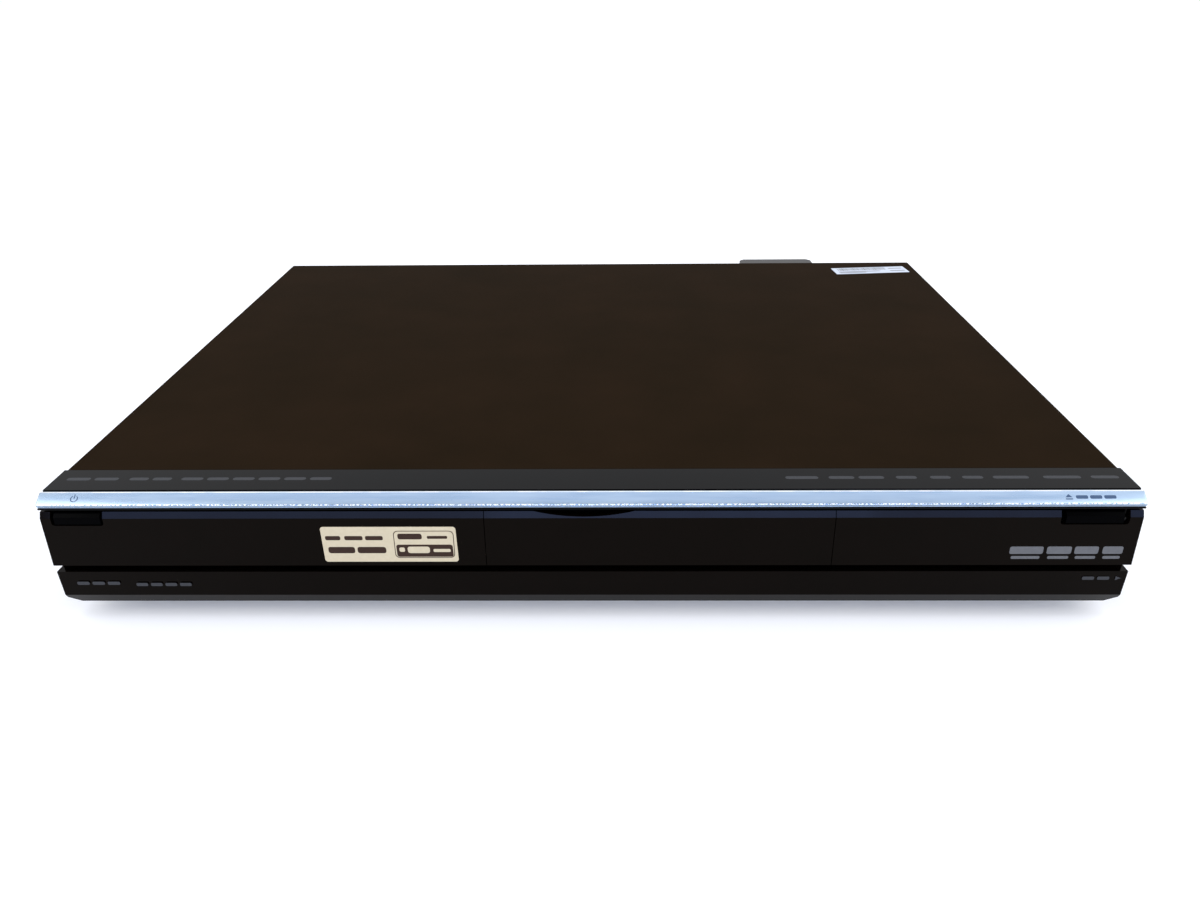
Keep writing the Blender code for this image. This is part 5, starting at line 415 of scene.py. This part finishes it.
barShape = {
    "topRound": 0.9, "noseRound": 0.7, "lip": 0.3, "lipBack": 0.4, "endRound": 0.6, "under": 0.03, "steps": 5,
    "crestFrom": 127, "crestTo": 96, "noseFrom": 168, "noseTo": 128, "edge": 0.03,   # mm, degrees
}


def arcBetween(centre, radius, start, end, steps):
    angles = np.radians(np.linspace(start, end, steps))
    return np.stack([centre[0] + radius * np.cos(angles), centre[1] + radius * np.sin(angles)], axis=-1)


def barCentres():
    # the middles of the round nose and the round crest, a hair inside the bar's box
    low, high = (np.array(corner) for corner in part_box("trim_strip"))
    v = barShape
    nose = (low[1] + (v["noseRound"] + v["under"]) * mm, low[2] + (v["lip"] + v["noseRound"]) * mm)
    crest = (high[1] - v["topRound"] * mm, high[2] - (v["topRound"] + v["under"]) * mm)
    return low, high, np.array(nose), np.array(crest)


def carried(section, left, right, round):
    # a section carried along the width; near each end it shrinks towards its middle on a quarter circle
    centre = section.mean(axis=0)
    s = np.linspace(0, np.pi / 2, 5)
    xs = np.concatenate([left + round * (1 - np.cos(s)), right - round * (1 - np.cos(s[::-1]))])
    inset = np.concatenate([round * (1 - np.sin(s)), round * (1 - np.sin(s[::-1]))])
    away = section - centre
    away /= np.linalg.norm(away, axis=1, keepdims=True)
    rings = section[None] - away[None] * inset[:, None, None]
    points = np.concatenate([np.broadcast_to(xs[:, None, None], rings.shape[:2] + (1,)), rings], axis=-1)
    caps = [np.broadcast_to(np.r_[x, centre], (1,) + points.shape[1:]) for x in (left, right)]
    points = np.concatenate([caps[0], points, caps[1]])
    return points.reshape(-1, 3), gridQuads(*points.shape[:2], wrapColumns=True)


def makeBar():
    # the bar's section: flat underside, short nose, slanted face and rounded crest
    v = barShape
    low, high, nose, crest = barCentres()
    section = np.concatenate([[(high[1], low[2])], [(low[1] + v["lipBack"] * mm, low[2])],
                              [(low[1] + v["lipBack"] * mm, low[2] + v["lip"] * mm * 0.8)],
                              arcBetween(nose, v["noseRound"] * mm, 250, 130, v["steps"]),
                              arcBetween(crest, v["topRound"] * mm, 125, 0, v["steps"] + 3)])
    made = finished(meshObject("bright_bar", *carried(section, low[0], high[0], v["endRound"] * mm)), brushed,
                    "casing")
    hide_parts("trim_strip")
    sharpened(made)


def makeBarEdges():
    # two thin crescents laid over the bar along its crest and its nose: a painted highlight and painted glints
    v = barShape
    low, high, nose, crest = barCentres()
    edges = (("crest_edge", crest, v["topRound"], v["crestFrom"], v["crestTo"], crestHighlight),
             ("nose_edge", nose, v["noseRound"], v["noseFrom"], v["noseTo"], noseGlints))
    for name, centre, radius, start, end, material in edges:
        outer = arcBetween(centre, (radius + v["edge"]) * mm, start, end, 6)
        inner = arcBetween(centre, (radius - 0.1) * mm, end, start, 6)
        section = np.concatenate([outer, inner])
        grid = carried(section, low[0] + 0.4 * mm, high[0] - 0.4 * mm, 0.05 * mm)
        sharpened(finished(meshObject(name, *grid), material, "casing"))


makeBar()
makeBarEdges()


# Printed and stuck-on pieces

stickerShape = {
    # mm, on the window
    "left": -104.8, "right": -51.5, "low": 30.0, "high": 46.0, "lean": -0.4, "round": 1.2, "thick": 0.05,
    "sunk": 0.02, "blockLeft": -76.4, "blockRight": -52.6, "blockInset": 1.8, "blockRound": 1.8, "line": 0.28,
    "darkUp": -2.9, "darkHeight": 5.6, "darkInset": 0.7, "darkRound": 1.0, "paleOver": 0.028,
    # bars as (across, up, width, height), from the middle of the sticker, and in the block from the block's
    "bars": [(-22.2, 2.9, 6.0, 1.9), (-14.0, 2.9, 7.2, 1.9), (-5.9, 2.9, 7.0, 1.9), (-19.4, -2.6, 10.6, 2.9),
             (-7.4, -2.6, 11.4, 2.9)],
    "blockBars": [(-5.4, 3.6, 9.6, 2.6), (5.4, 3.2, 8.0, 1.3)],
    "paleBars": [(-9.0, -2.4, 2.2, 2.0), (-2.4, -2.5, 8.8, 3.0), (6.8, -2.8, 6.8, 1.4)],
}


def frameOutline(width, height, radius, line):
    # a rounded frame: two outlines, one inside the other, joined by flat faces and short walls
    outer = roundedOutline(width, height, radius)
    inner = roundedOutline(width - 2 * line, height - 2 * line, radius - line / 2)
    rings = [(inner, 0), (outer, 0), (outer, inkThick), (inner, inkThick)]
    points = np.concatenate([np.column_stack([ring, np.full(len(ring), z)]) for ring, z in rings]) * mm
    return points, gridQuads(4, len(outer), wrapRows=True, wrapColumns=True)


def makeSticker():
    # a rounded plate of paper that leans a little, with dark bars, a framed block and pale bars for its printing
    v = stickerShape
    width, height = v["right"] - v["left"], v["high"] - v["low"]
    blockWidth = v["blockRight"] - v["blockLeft"]
    middle = (v["blockLeft"] + v["blockRight"] - v["left"] - v["right"]) / 2

    def leaning(across, up, wide, high, radius=None, steps=3):
        shape = roundedOutline(wide, high, radius or high * 0.3, steps)
        shape[:, 0] += (shape[:, 1] + up) / height * v["lean"] + across
        return shifted(plateGrid(shape * mm, inkThick * mm), 0, up * mm)

    outline = roundedOutline(width, height, v["round"])
    outline[:, 0] += outline[:, 1] / height * v["lean"]
    frameLine = frameOutline(blockWidth, height - 2 * v["blockInset"], v["blockRound"], v["line"])
    dark = [shifted(frameLine, middle * mm, 0),
            leaning(middle, v["darkUp"], blockWidth - 2 * v["darkInset"], v["darkHeight"], v["darkRound"], 5)]
    dark += [leaning(*bar) for bar in v["bars"]]
    dark += [leaning(a + middle, *rest) for a, *rest in v["blockBars"]]
    pale = [leaning(a + middle, *rest) for a, *rest in v["paleBars"]]
    x, z = (v["left"] + v["right"]) / 2 * mm, (v["low"] + v["high"]) / 2 * mm
    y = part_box("display_window")[0][1] + v["sunk"] * mm
    printY = y - (v["thick"] - touch) * mm
    layers = (("front_sticker", [plateGrid(outline * mm, v["thick"] * mm)], y, creamPaper),
              ("sticker_print", dark, printY, brownInk),
              ("sticker_bars", pale, printY - v["paleOver"] * mm, creamPaper))
    for name, parts, depth, material in layers:
        stuckOn(name, parts, (x, depth, z), rightward, upright, material, "casing")


coverLabel = {
    "left": 157.6, "right": 208.8, "front": 308.0, "rear": 330.0, "depth": 14.6, "turn": 5.2, "thick": 0.05,
    "sunk": 0.02, "trim": 1.5, "round": 0.8,   # mm and degrees, on the cover
    "strokes": 22, "strokeFrom": -21.0, "strokePitch": 1.5, "strokeUp": 3.2, "strokeHeight": 5.6, "thin": 0.35,
    "more": 0.5, "lines": [(-8, -2.2, 28), (-13, -4.4, 18), (18, -2.6, 10), (18, 3.0, 9)], "lineHeight": 0.9,
}


def makeCoverLabel():
    # a white paper plate, turned a little, with upright strokes of five widths and a few lines
    v = coverLabel
    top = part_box("top_cover")[1][2]
    origin = ((v["left"] + v["right"]) / 2 * mm, frontY + (v["front"] + v["rear"]) / 2 * mm,
              top - v["sunk"] * mm)
    turn = math.radians(v["turn"])
    across, upward = (math.cos(turn), math.sin(turn), 0), (-math.sin(turn), math.cos(turn), 0)
    width = v["right"] - v["left"] - v["trim"]
    plate = plateGrid(roundedOutline(width, v["depth"], v["round"]) * mm, v["thick"] * mm)
    stuckOn("cover_label", [plate], origin, across, upward, whitePaper, "casing")
    strokes = np.arange(v["strokes"])
    wide = v["thin"] + v["more"] * ((strokes * 7) % 5) / 4
    bars = []
    for i, w in zip(strokes, wide):
        stroke = plateGrid(roundedOutline(w, v["strokeHeight"], 0.05, 2) * mm, inkThick * mm)
        bars.append(shifted(stroke, (v["strokeFrom"] + i * v["strokePitch"]) * mm, v["strokeUp"] * mm))
    for a, b, w in v["lines"]:
        line = plateGrid(roundedOutline(w, v["lineHeight"], 0.3, 3) * mm, inkThick * mm)
        bars.append(shifted(line, a * mm, b * mm))
    raised = (origin[0], origin[1], origin[2] + (v["thick"] - touch) * mm)
    stuckOn("cover_label_bars", bars, raised, across, upward, darkInk, "casing")


bandMarks = {
    # mm; then the spans of the small marks, left to right
    "back": 16.0, "height": 2.4, "longest": 9, "gap": 1.6,
    "spans": [(-210.5, -187.8), (-185.0, -166.3), (-164.0, -101.8), (77.8, 92.5), (95.0, 118.6), (121.6, 131.5),
              (135.1, 144.9), (147.8, 157.7), (159.9, 175.7), (179.7, 196.2), (198.5, 211.1)],
}


def makeBandMarks():
    v = bandMarks
    parts = []
    for left, right in v["spans"]:
        parts += barRow((left + right) / 2, right - left, 0, v["longest"], v["gap"], v["height"],
                        v["height"] * 0.45)
    origin = (0, frontY + v["back"] * mm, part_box("front_frame")[1][2] - touch * mm)
    stuckOn("band_marks", parts, origin, rightward, backward, faintInk, "casing")


barSigns = {
    "powerX": -200.45, "openX": 185.4, "thick": 0.05, "sunk": 0.01,   # mm, on the bar's slanted face
    "outer": 1.5, "inner": 1.15, "from": 125, "to": 415, "strokeWide": 0.35, "strokeHigh": 1.9, "strokeUp": 0.95,
    "triangle": [(-1.3, -0.1), (1.3, -0.1), (0, 1.3)], "lineWide": 2.6, "lineHigh": 0.5, "lineUp": -0.85,
    "barWide": 4.6, "barHigh": 1.5, "barFrom": 5.0, "barPitch": 5.4, "bars": 3,
}


def makeBarSigns():
    # the power sign, an open ring with a stroke; the open and close sign, a triangle over a line; then three bars
    v = barSigns
    nose, crest = barCentres()[2:]
    lowEdge = arcBetween(nose, barShape["noseRound"] * mm, 130, 130, 1)[0]
    highEdge = arcBetween(crest, barShape["topRound"] * mm, 125, 125, 1)[0]
    slope = (highEdge - lowEdge) / np.linalg.norm(highEdge - lowEdge)
    middle = (lowEdge + highEdge) / 2 - np.array((-slope[1], slope[0])) * v["sunk"] * mm

    def flat(outline):
        return plateGrid(np.array(outline) * mm, v["thick"] * mm)

    start, end = math.radians(v["from"]), math.radians(v["to"])
    ring = ringGrid(v["outer"] * mm, v["inner"] * mm, v["thick"] * mm, 26, start, end)
    stroke = flat(roundedOutline(v["strokeWide"], v["strokeHigh"], 0.15, 3))
    line = flat(roundedOutline(v["lineWide"], v["lineHigh"], 0.1, 3))
    bar = flat(roundedOutline(v["barWide"], v["barHigh"], 0.5, 3))
    power = [ring, shifted(stroke, 0, v["strokeUp"] * mm)]
    opening = [flat(v["triangle"]), shifted(line, 0, v["lineUp"] * mm)]
    opening += [shifted(bar, (v["barFrom"] + i * v["barPitch"]) * mm, 0) for i in range(v["bars"])]
    for name, x, parts in (("power_sign", v["powerX"], power), ("open_sign", v["openX"], opening)):
        stuckOn(name, parts, (x * mm, middle[0], middle[1]), rightward, (0, slope[0], slope[1]), signInk,
                "casing")


panelSigns = {
    "low": 30.8, "high": 37.0, "thick": 3.4, "thickUp": 1.1, "thin": 1.3, "thinUp": -2.2, "thinShare": 0.86,
    "spans": [(165.7, 178.8), (180.2, 189.8), (191.0, 200.3), (201.9, 209.8)],   # mm, on the flap
}


def makePanelSigns():
    # four pairs of plain bars, a thick one over a thin one, in place of printing, riding on the flap
    v = panelSigns
    parts = []
    for left, right in v["spans"]:
        x, width = (left + right) / 2 * mm, right - left
        thick = roundedOutline(width, v["thick"], 0.7, 3)
        thin = roundedOutline(width * v["thinShare"], v["thin"], 0.5, 3)
        parts += [shifted(plateGrid(thick * mm, inkThick * mm), x, v["thickUp"] * mm),
                  shifted(plateGrid(thin * mm, inkThick * mm), x, v["thinUp"] * mm)]
    origin = (0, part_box("front_flap")[0][1] + touch * mm, (v["low"] + v["high"]) / 2 * mm)
    stuckOn("flap_signs", parts, origin, rightward, upright, greyInk, "front_flap")


lowerMarks = {
    # mm
    "height": 1.5, "round": 0.5, "longest": 5.5, "gap": 1.2, "arrow": [(-1.0, -0.9), (1.2, 0), (-1.0, 0.9)],
    "arrowAt": (211.2, 21.4), "spans": [(-208.2, -189.5, 19.2), (-184.1, -160.4, 18.6), (196.4, 208.4, 21.4)],
}


def makeLowerMarks():
    # short rounded bars and one arrow head on the lower panel, in place of printing
    v = lowerMarks
    parts = []
    for left, right, z in v["spans"]:
        parts += barRow((left + right) / 2, right - left, z, v["longest"], v["gap"], v["height"], v["round"])
    arrow = plateGrid(np.array(v["arrow"]) * mm, inkThick * mm)
    parts.append(shifted(arrow, v["arrowAt"][0] * mm, v["arrowAt"][1] * mm))
    origin = (0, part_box("lower_panel")[0][1] + touch * mm, 0)
    stuckOn("lower_marks", parts, origin, rightward, upright, faintInk, "casing")


makeSticker()
makeLowerMarks()
makeCoverLabel()
makeBandMarks()
makeBarSigns()
makePanelSigns()
print("prints made")


# Screws

screwShape = {"radius": 2.9, "rise": 0.85, "slot": 0.42, "reach": 1.7, "depth": 0.6}   # mm


def screwGrid(v, rings=14, steps=48):
    # a domed head: height falls with the square of the radius, and a cross-shaped recess is pressed in
    t = np.linspace(0, 1, rings)[:, None]
    angle = np.linspace(0, 2 * np.pi, steps, endpoint=False)[None, :]
    radius = t * v["radius"]
    a, b = radius * np.cos(angle), radius * np.sin(angle)
    dome = v["rise"] * (1 - 0.45 * t ** 2 - 0.55 * t ** 12)
    cross = (np.minimum(np.abs(a), np.abs(b)) < v["slot"]) & (np.maximum(np.abs(a), np.abs(b)) < v["reach"])
    height = np.broadcast_to(dome, a.shape) - v["depth"] * cross
    under = np.stack([0 * angle, 0 * angle, 0 * angle], axis=-1)
    foot = np.stack([np.cos(angle) * v["radius"], np.sin(angle) * v["radius"], 0 * angle], axis=-1)
    top = np.stack([a, b, height], axis=-1)[::-1]
    points = np.concatenate([under, foot, top]) * mm
    return points.reshape(-1, 3), gridQuads(rings + 2, steps, wrapColumns=True)


def placeScrews(name, places, across, upward, material):
    head = screwGrid(screwShape)
    parts = [placed(head, place, across, upward) for place in places]
    sharpened(finished(meshObject(name, *joinGrids(parts)), material, "casing"), 28)


coverLow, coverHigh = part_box("top_cover")
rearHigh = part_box("rear_panel")[1]
coverScrews = {"backs": (60, 285), "up": 30}   # mm, from the front plane and from the table
for name, x, across in (("left_cover_screws", coverLow[0], (0, -1, 0)),
                        ("right_cover_screws", coverHigh[0], (0, 1, 0))):
    places = [(x, frontY + y * mm, coverScrews["up"] * mm) for y in coverScrews["backs"]]
    placeScrews(name, places, across, upright, blackAbs)
rearScrews = [(-206, 52), (-206, 14), (-112, 50), (-28, 48), (40, 48), (86, 50), (86, 14), (162, 50), (206, 52),
              (206, 14)]   # mm: x, z
placeScrews("rear_screws", [(x * mm, rearHigh[1], z * mm) for x, z in rearScrews], leftward, upright, nickel)
print("screws made")


# Sockets: metal sleeves, coloured rings and printed bars

jackShape = {
    "radius": 4.38, "wall": 0.8, "rim": 3.5, "bore": 1.75, "ring": 0.35, "sunk": 0.2, "bevel": 0.3, "lip": 0.2,   # mm
    "pitch": 14.0, "first": 6.6, "frontPitch": 12.2, "frontFirst": 5.4, "frontUp": 5.6, "frontOut": 0.3,
    # height, then which colour each rear jack has, left to right; and the colours of the front jacks
    "rows": {37.5: [0, 2, 1, 4], 23.5: [0, 2, 1, 3]}, "front": (0, 2, 1),
}
jackColours = [("signalYellowAbs", "#c79a12", "#d6a91c"), ("signalRedAbs", "#9c1512", "#ad1d18"),
               ("signalWhiteAbs", "#cfcfca", "#dcdcd8"), ("signalBlueAbs", "#173f8f", "#1f4ba0"),
               ("signalGreenAbs", "#156b36", "#1d7a40")]


def sleeveSection(radius, wall, length):
    # a tube's section, a closed loop with a small bevel at its mouth
    return np.array([(radius - wall, 0), (radius, 0), (radius, length - 0.25), (radius - 0.2, length),
                     (radius - wall, length)]) * mm


def makeJacks():
    # each rear jack gets a plated sleeve round its barrel and a coloured ring sunk in its end, where it doesn't
    # show; the front jacks get rings alone, which do
    v = jackShape
    colours = [mouldedPlastic(name, dark, light, 0.3, 0.42, 0.8, 0.02) for name, dark, light in jackColours]
    low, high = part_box("av_jack_block")
    sleeve = turnedGrid(sleeveSection(v["radius"], v["wall"], high[1] / mm - rearHigh[1] / mm), 32)
    mouth = [(v["bore"], -v["sunk"]), (v["rim"], -v["sunk"]), (v["rim"], v["ring"]),
             (v["bore"] + v["bevel"], v["ring"]), (v["bore"], v["ring"] - v["lip"])]
    ring = turnedGrid(np.array(mouth) * mm, 28)
    sleeves, rings = [], {}
    for z, row in v["rows"].items():
        for i, colour in enumerate(row):
            x = low[0] + (v["first"] + (3 - i) * v["pitch"]) * mm
            sleeves.append(placed(sleeve, (x, rearHigh[1], z * mm), leftward, upright))
            ringPlace = (x, high[1] - v["ring"] * mm, z * mm)
            rings.setdefault(colour, []).append(placed(ring, ringPlace, leftward, upright))
    sharpened(finished(meshObject("jack_sleeves", *joinGrids(sleeves)), nickel, "casing"))
    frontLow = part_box("front_av_jacks")[0]
    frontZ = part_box("control_bay")[0][2] + v["frontUp"] * mm
    for i, colour in enumerate(v["front"]):
        ringPlace = (frontLow[0] + (v["frontFirst"] + i * v["frontPitch"]) * mm,
                     frontLow[1] + v["frontOut"] * mm, frontZ)
        rings.setdefault(colour, []).append(placed(ring, ringPlace, rightward, upright))
    for colour, parts in rings.items():
        made = meshObject(jackColours[colour][0].replace("Abs", "_rings"), *joinGrids(parts))
        sharpened(finished(made, colours[colour], "casing"))


aerialShape = {
    "radius": 4.9, "thread": 0.14, "pitch": 0.9, "turns": 8, "spacing": 19.0, "inside": 0.6, "start": 0.2,
    "up": 33.5,   # mm
}


def makeAerialThreads():
    # radius swings in and out once a pitch along the barrel, as the crests of a screw thread do
    v = aerialShape
    low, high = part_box("aerial_block")
    along = np.arange(2 * v["turns"] + 1) * v["pitch"] / 2
    crest = v["radius"] + v["thread"] * (np.arange(len(along)) % 2)
    inner = v["radius"] - v["inside"]
    section = np.concatenate([[(inner, 0)], np.stack([crest, along], axis=-1), [(inner, along[-1])]]) * mm
    part = turnedGrid(section, 32)
    parts = []
    for side in (-1, 1):
        x = (low[0] + high[0]) / 2 + side * v["spacing"] / 2 * mm
        parts.append(placed(part, (x, rearHigh[1] + v["start"] * mm, v["up"] * mm), leftward, upright))
    sharpened(finished(meshObject("aerial_threads", *joinGrids(parts)), nickel, "casing"))


rearMarks = {
    # mm; then each node's width of marks and their rise over it
    "height": 1.1, "round": 0.4, "longest": 6, "gap": 1.2,
    "places": [("ac_inlet", 12, 4.0), ("hdmi_socket", 11, 3.5), ("optical_out", 9, 3.5), ("lan_socket", 8, 3.5),
               ("aerial_block", 24, 3.5), ("av_jack_block", 40, 3.0)],
}


def makeRearMarks():
    # short dark bars over each socket, in place of its name
    v = rearMarks
    parts = []
    for node, width, rise in v["places"]:
        low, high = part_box(node)
        middle = -(low[0] + high[0]) / 2 / mm
        parts += barRow(middle, width, high[2] / mm + rise, v["longest"], v["gap"], v["height"], v["round"])
    stuckOn("rear_marks", parts, (0, rearHigh[1] - touch * mm, 0), leftward, upright, darkInk, "casing")


keySigns = {
    "channel_down_key": [(-1.1, 0.8), (0, -1.0), (1.1, 0.8)],
    "channel_up_key": [(-1.1, -0.8), (1.1, -0.8), (0, 1.0)],
    "stop_key": [(-0.9, -0.9), (0.9, -0.9), (0.9, 0.9), (-0.9, 0.9)],
    "play_key": [(-0.8, -1.1), (1.0, 0), (-0.8, 1.1)],
}   # mm


def makeKeySigns():
    # down, up, stop and play, as plain shapes on the small keys' faces
    for key, corners in keySigns.items():
        low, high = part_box(key)
        sign = plateGrid(np.array(corners, float) * mm, 0.04 * mm)
        face = ((low[0] + high[0]) / 2, low[1] + touch * mm, (low[2] + high[2]) / 2)
        made = meshObject(key.replace("_key", "_sign"), *placed(sign, face, rightward, upright))
        finished(made, greyInk, key)


makeJacks()
makeAerialThreads()
makeRearMarks()
makeKeySigns()
print("sockets dressed")


# Floor and light

studio = {"half": 30.0}   # metres


def makeFloor():
    # one flat square, far wider than any view
    half = studio["half"]
    xs = np.linspace(-half, half, 5)
    points = np.stack(np.broadcast_arrays(xs[:, None], xs[None, :], 0.0), axis=-1)
    made = meshObject("studio_floor", points.reshape(-1, 3), gridQuads(5, 5))
    material, tree, shader, place = newMaterial("paleStudioPaper", **{
        "Specular IOR Level": 0.1, "Emission Color": toLinear("#ffffff"), "Emission Strength": 0.14})
    cloud = addNode(tree, "ShaderNodeTexNoise", inputs={"Scale": 1.7}, links={"Vector": place})
    surfaced(tree, shader, cloud.outputs["Fac"], ("#f3f3f3", "#f6f6f6"), cloud.outputs["Fac"], (0.85, 0.92))
    made.data.materials.append(material)


def areaLight(name, place, target, size, power, colour):
    data = bpy.data.lights.new(name, "AREA")
    data.shape = "RECTANGLE"
    data.size, data.size_y = size
    data.energy = power
    data.color = toLinear(colour)[:3]
    light = bpy.data.objects.new(name, data)
    light.location = place
    light.rotation_euler = (Vector(target) - Vector(place)).to_track_quat("-Z", "Y").to_euler()
    bpy.context.collection.objects.link(light)


# name, place, target, size in metres, watts and colour; the doors' bevel mirrors the two long blue panels, low in
# front, as it mirrors a window's sky in the photograph
lights = [
    ("ceilingPanel", (0.0, -0.35, 1.9), (0, -0.1, 0), (3.0, 1.3), 7, "#cddcff"),
    ("leftPanel", (-1.7, -0.9, 1.2), (0, 0, 0), (1.2, 1.2), 14, "#ffffff"),
    ("rightPanel", (1.7, -0.7, 1.2), (0, 0, 0), (1.2, 1.2), 14, "#ffffff"),
    ("bluePanel", (0.0, -2.67, 1.056), (0.0, -0.17, 0.05), (3.5, 0.12), 17, "#89aeff"),
    ("blueCentre", (0.2, -2.66, 1.056), (0.03, -0.17, 0.05), (1.2, 0.12), 2.4, "#89aeff"),
]
makeFloor()
for light in lights:
    areaLight(*light)
world = bpy.data.worlds.new("studioAir")
world.use_nodes = True
world.node_tree.nodes["Background"].inputs["Color"].default_value = toLinear("#fbfcff")
world.node_tree.nodes["Background"].inputs["Strength"].default_value = 1.0
bpy.context.scene.world = world
bpy.context.scene.view_settings.view_transform = "Standard"    # plain sRGB, as the photograph has
print("studio made")
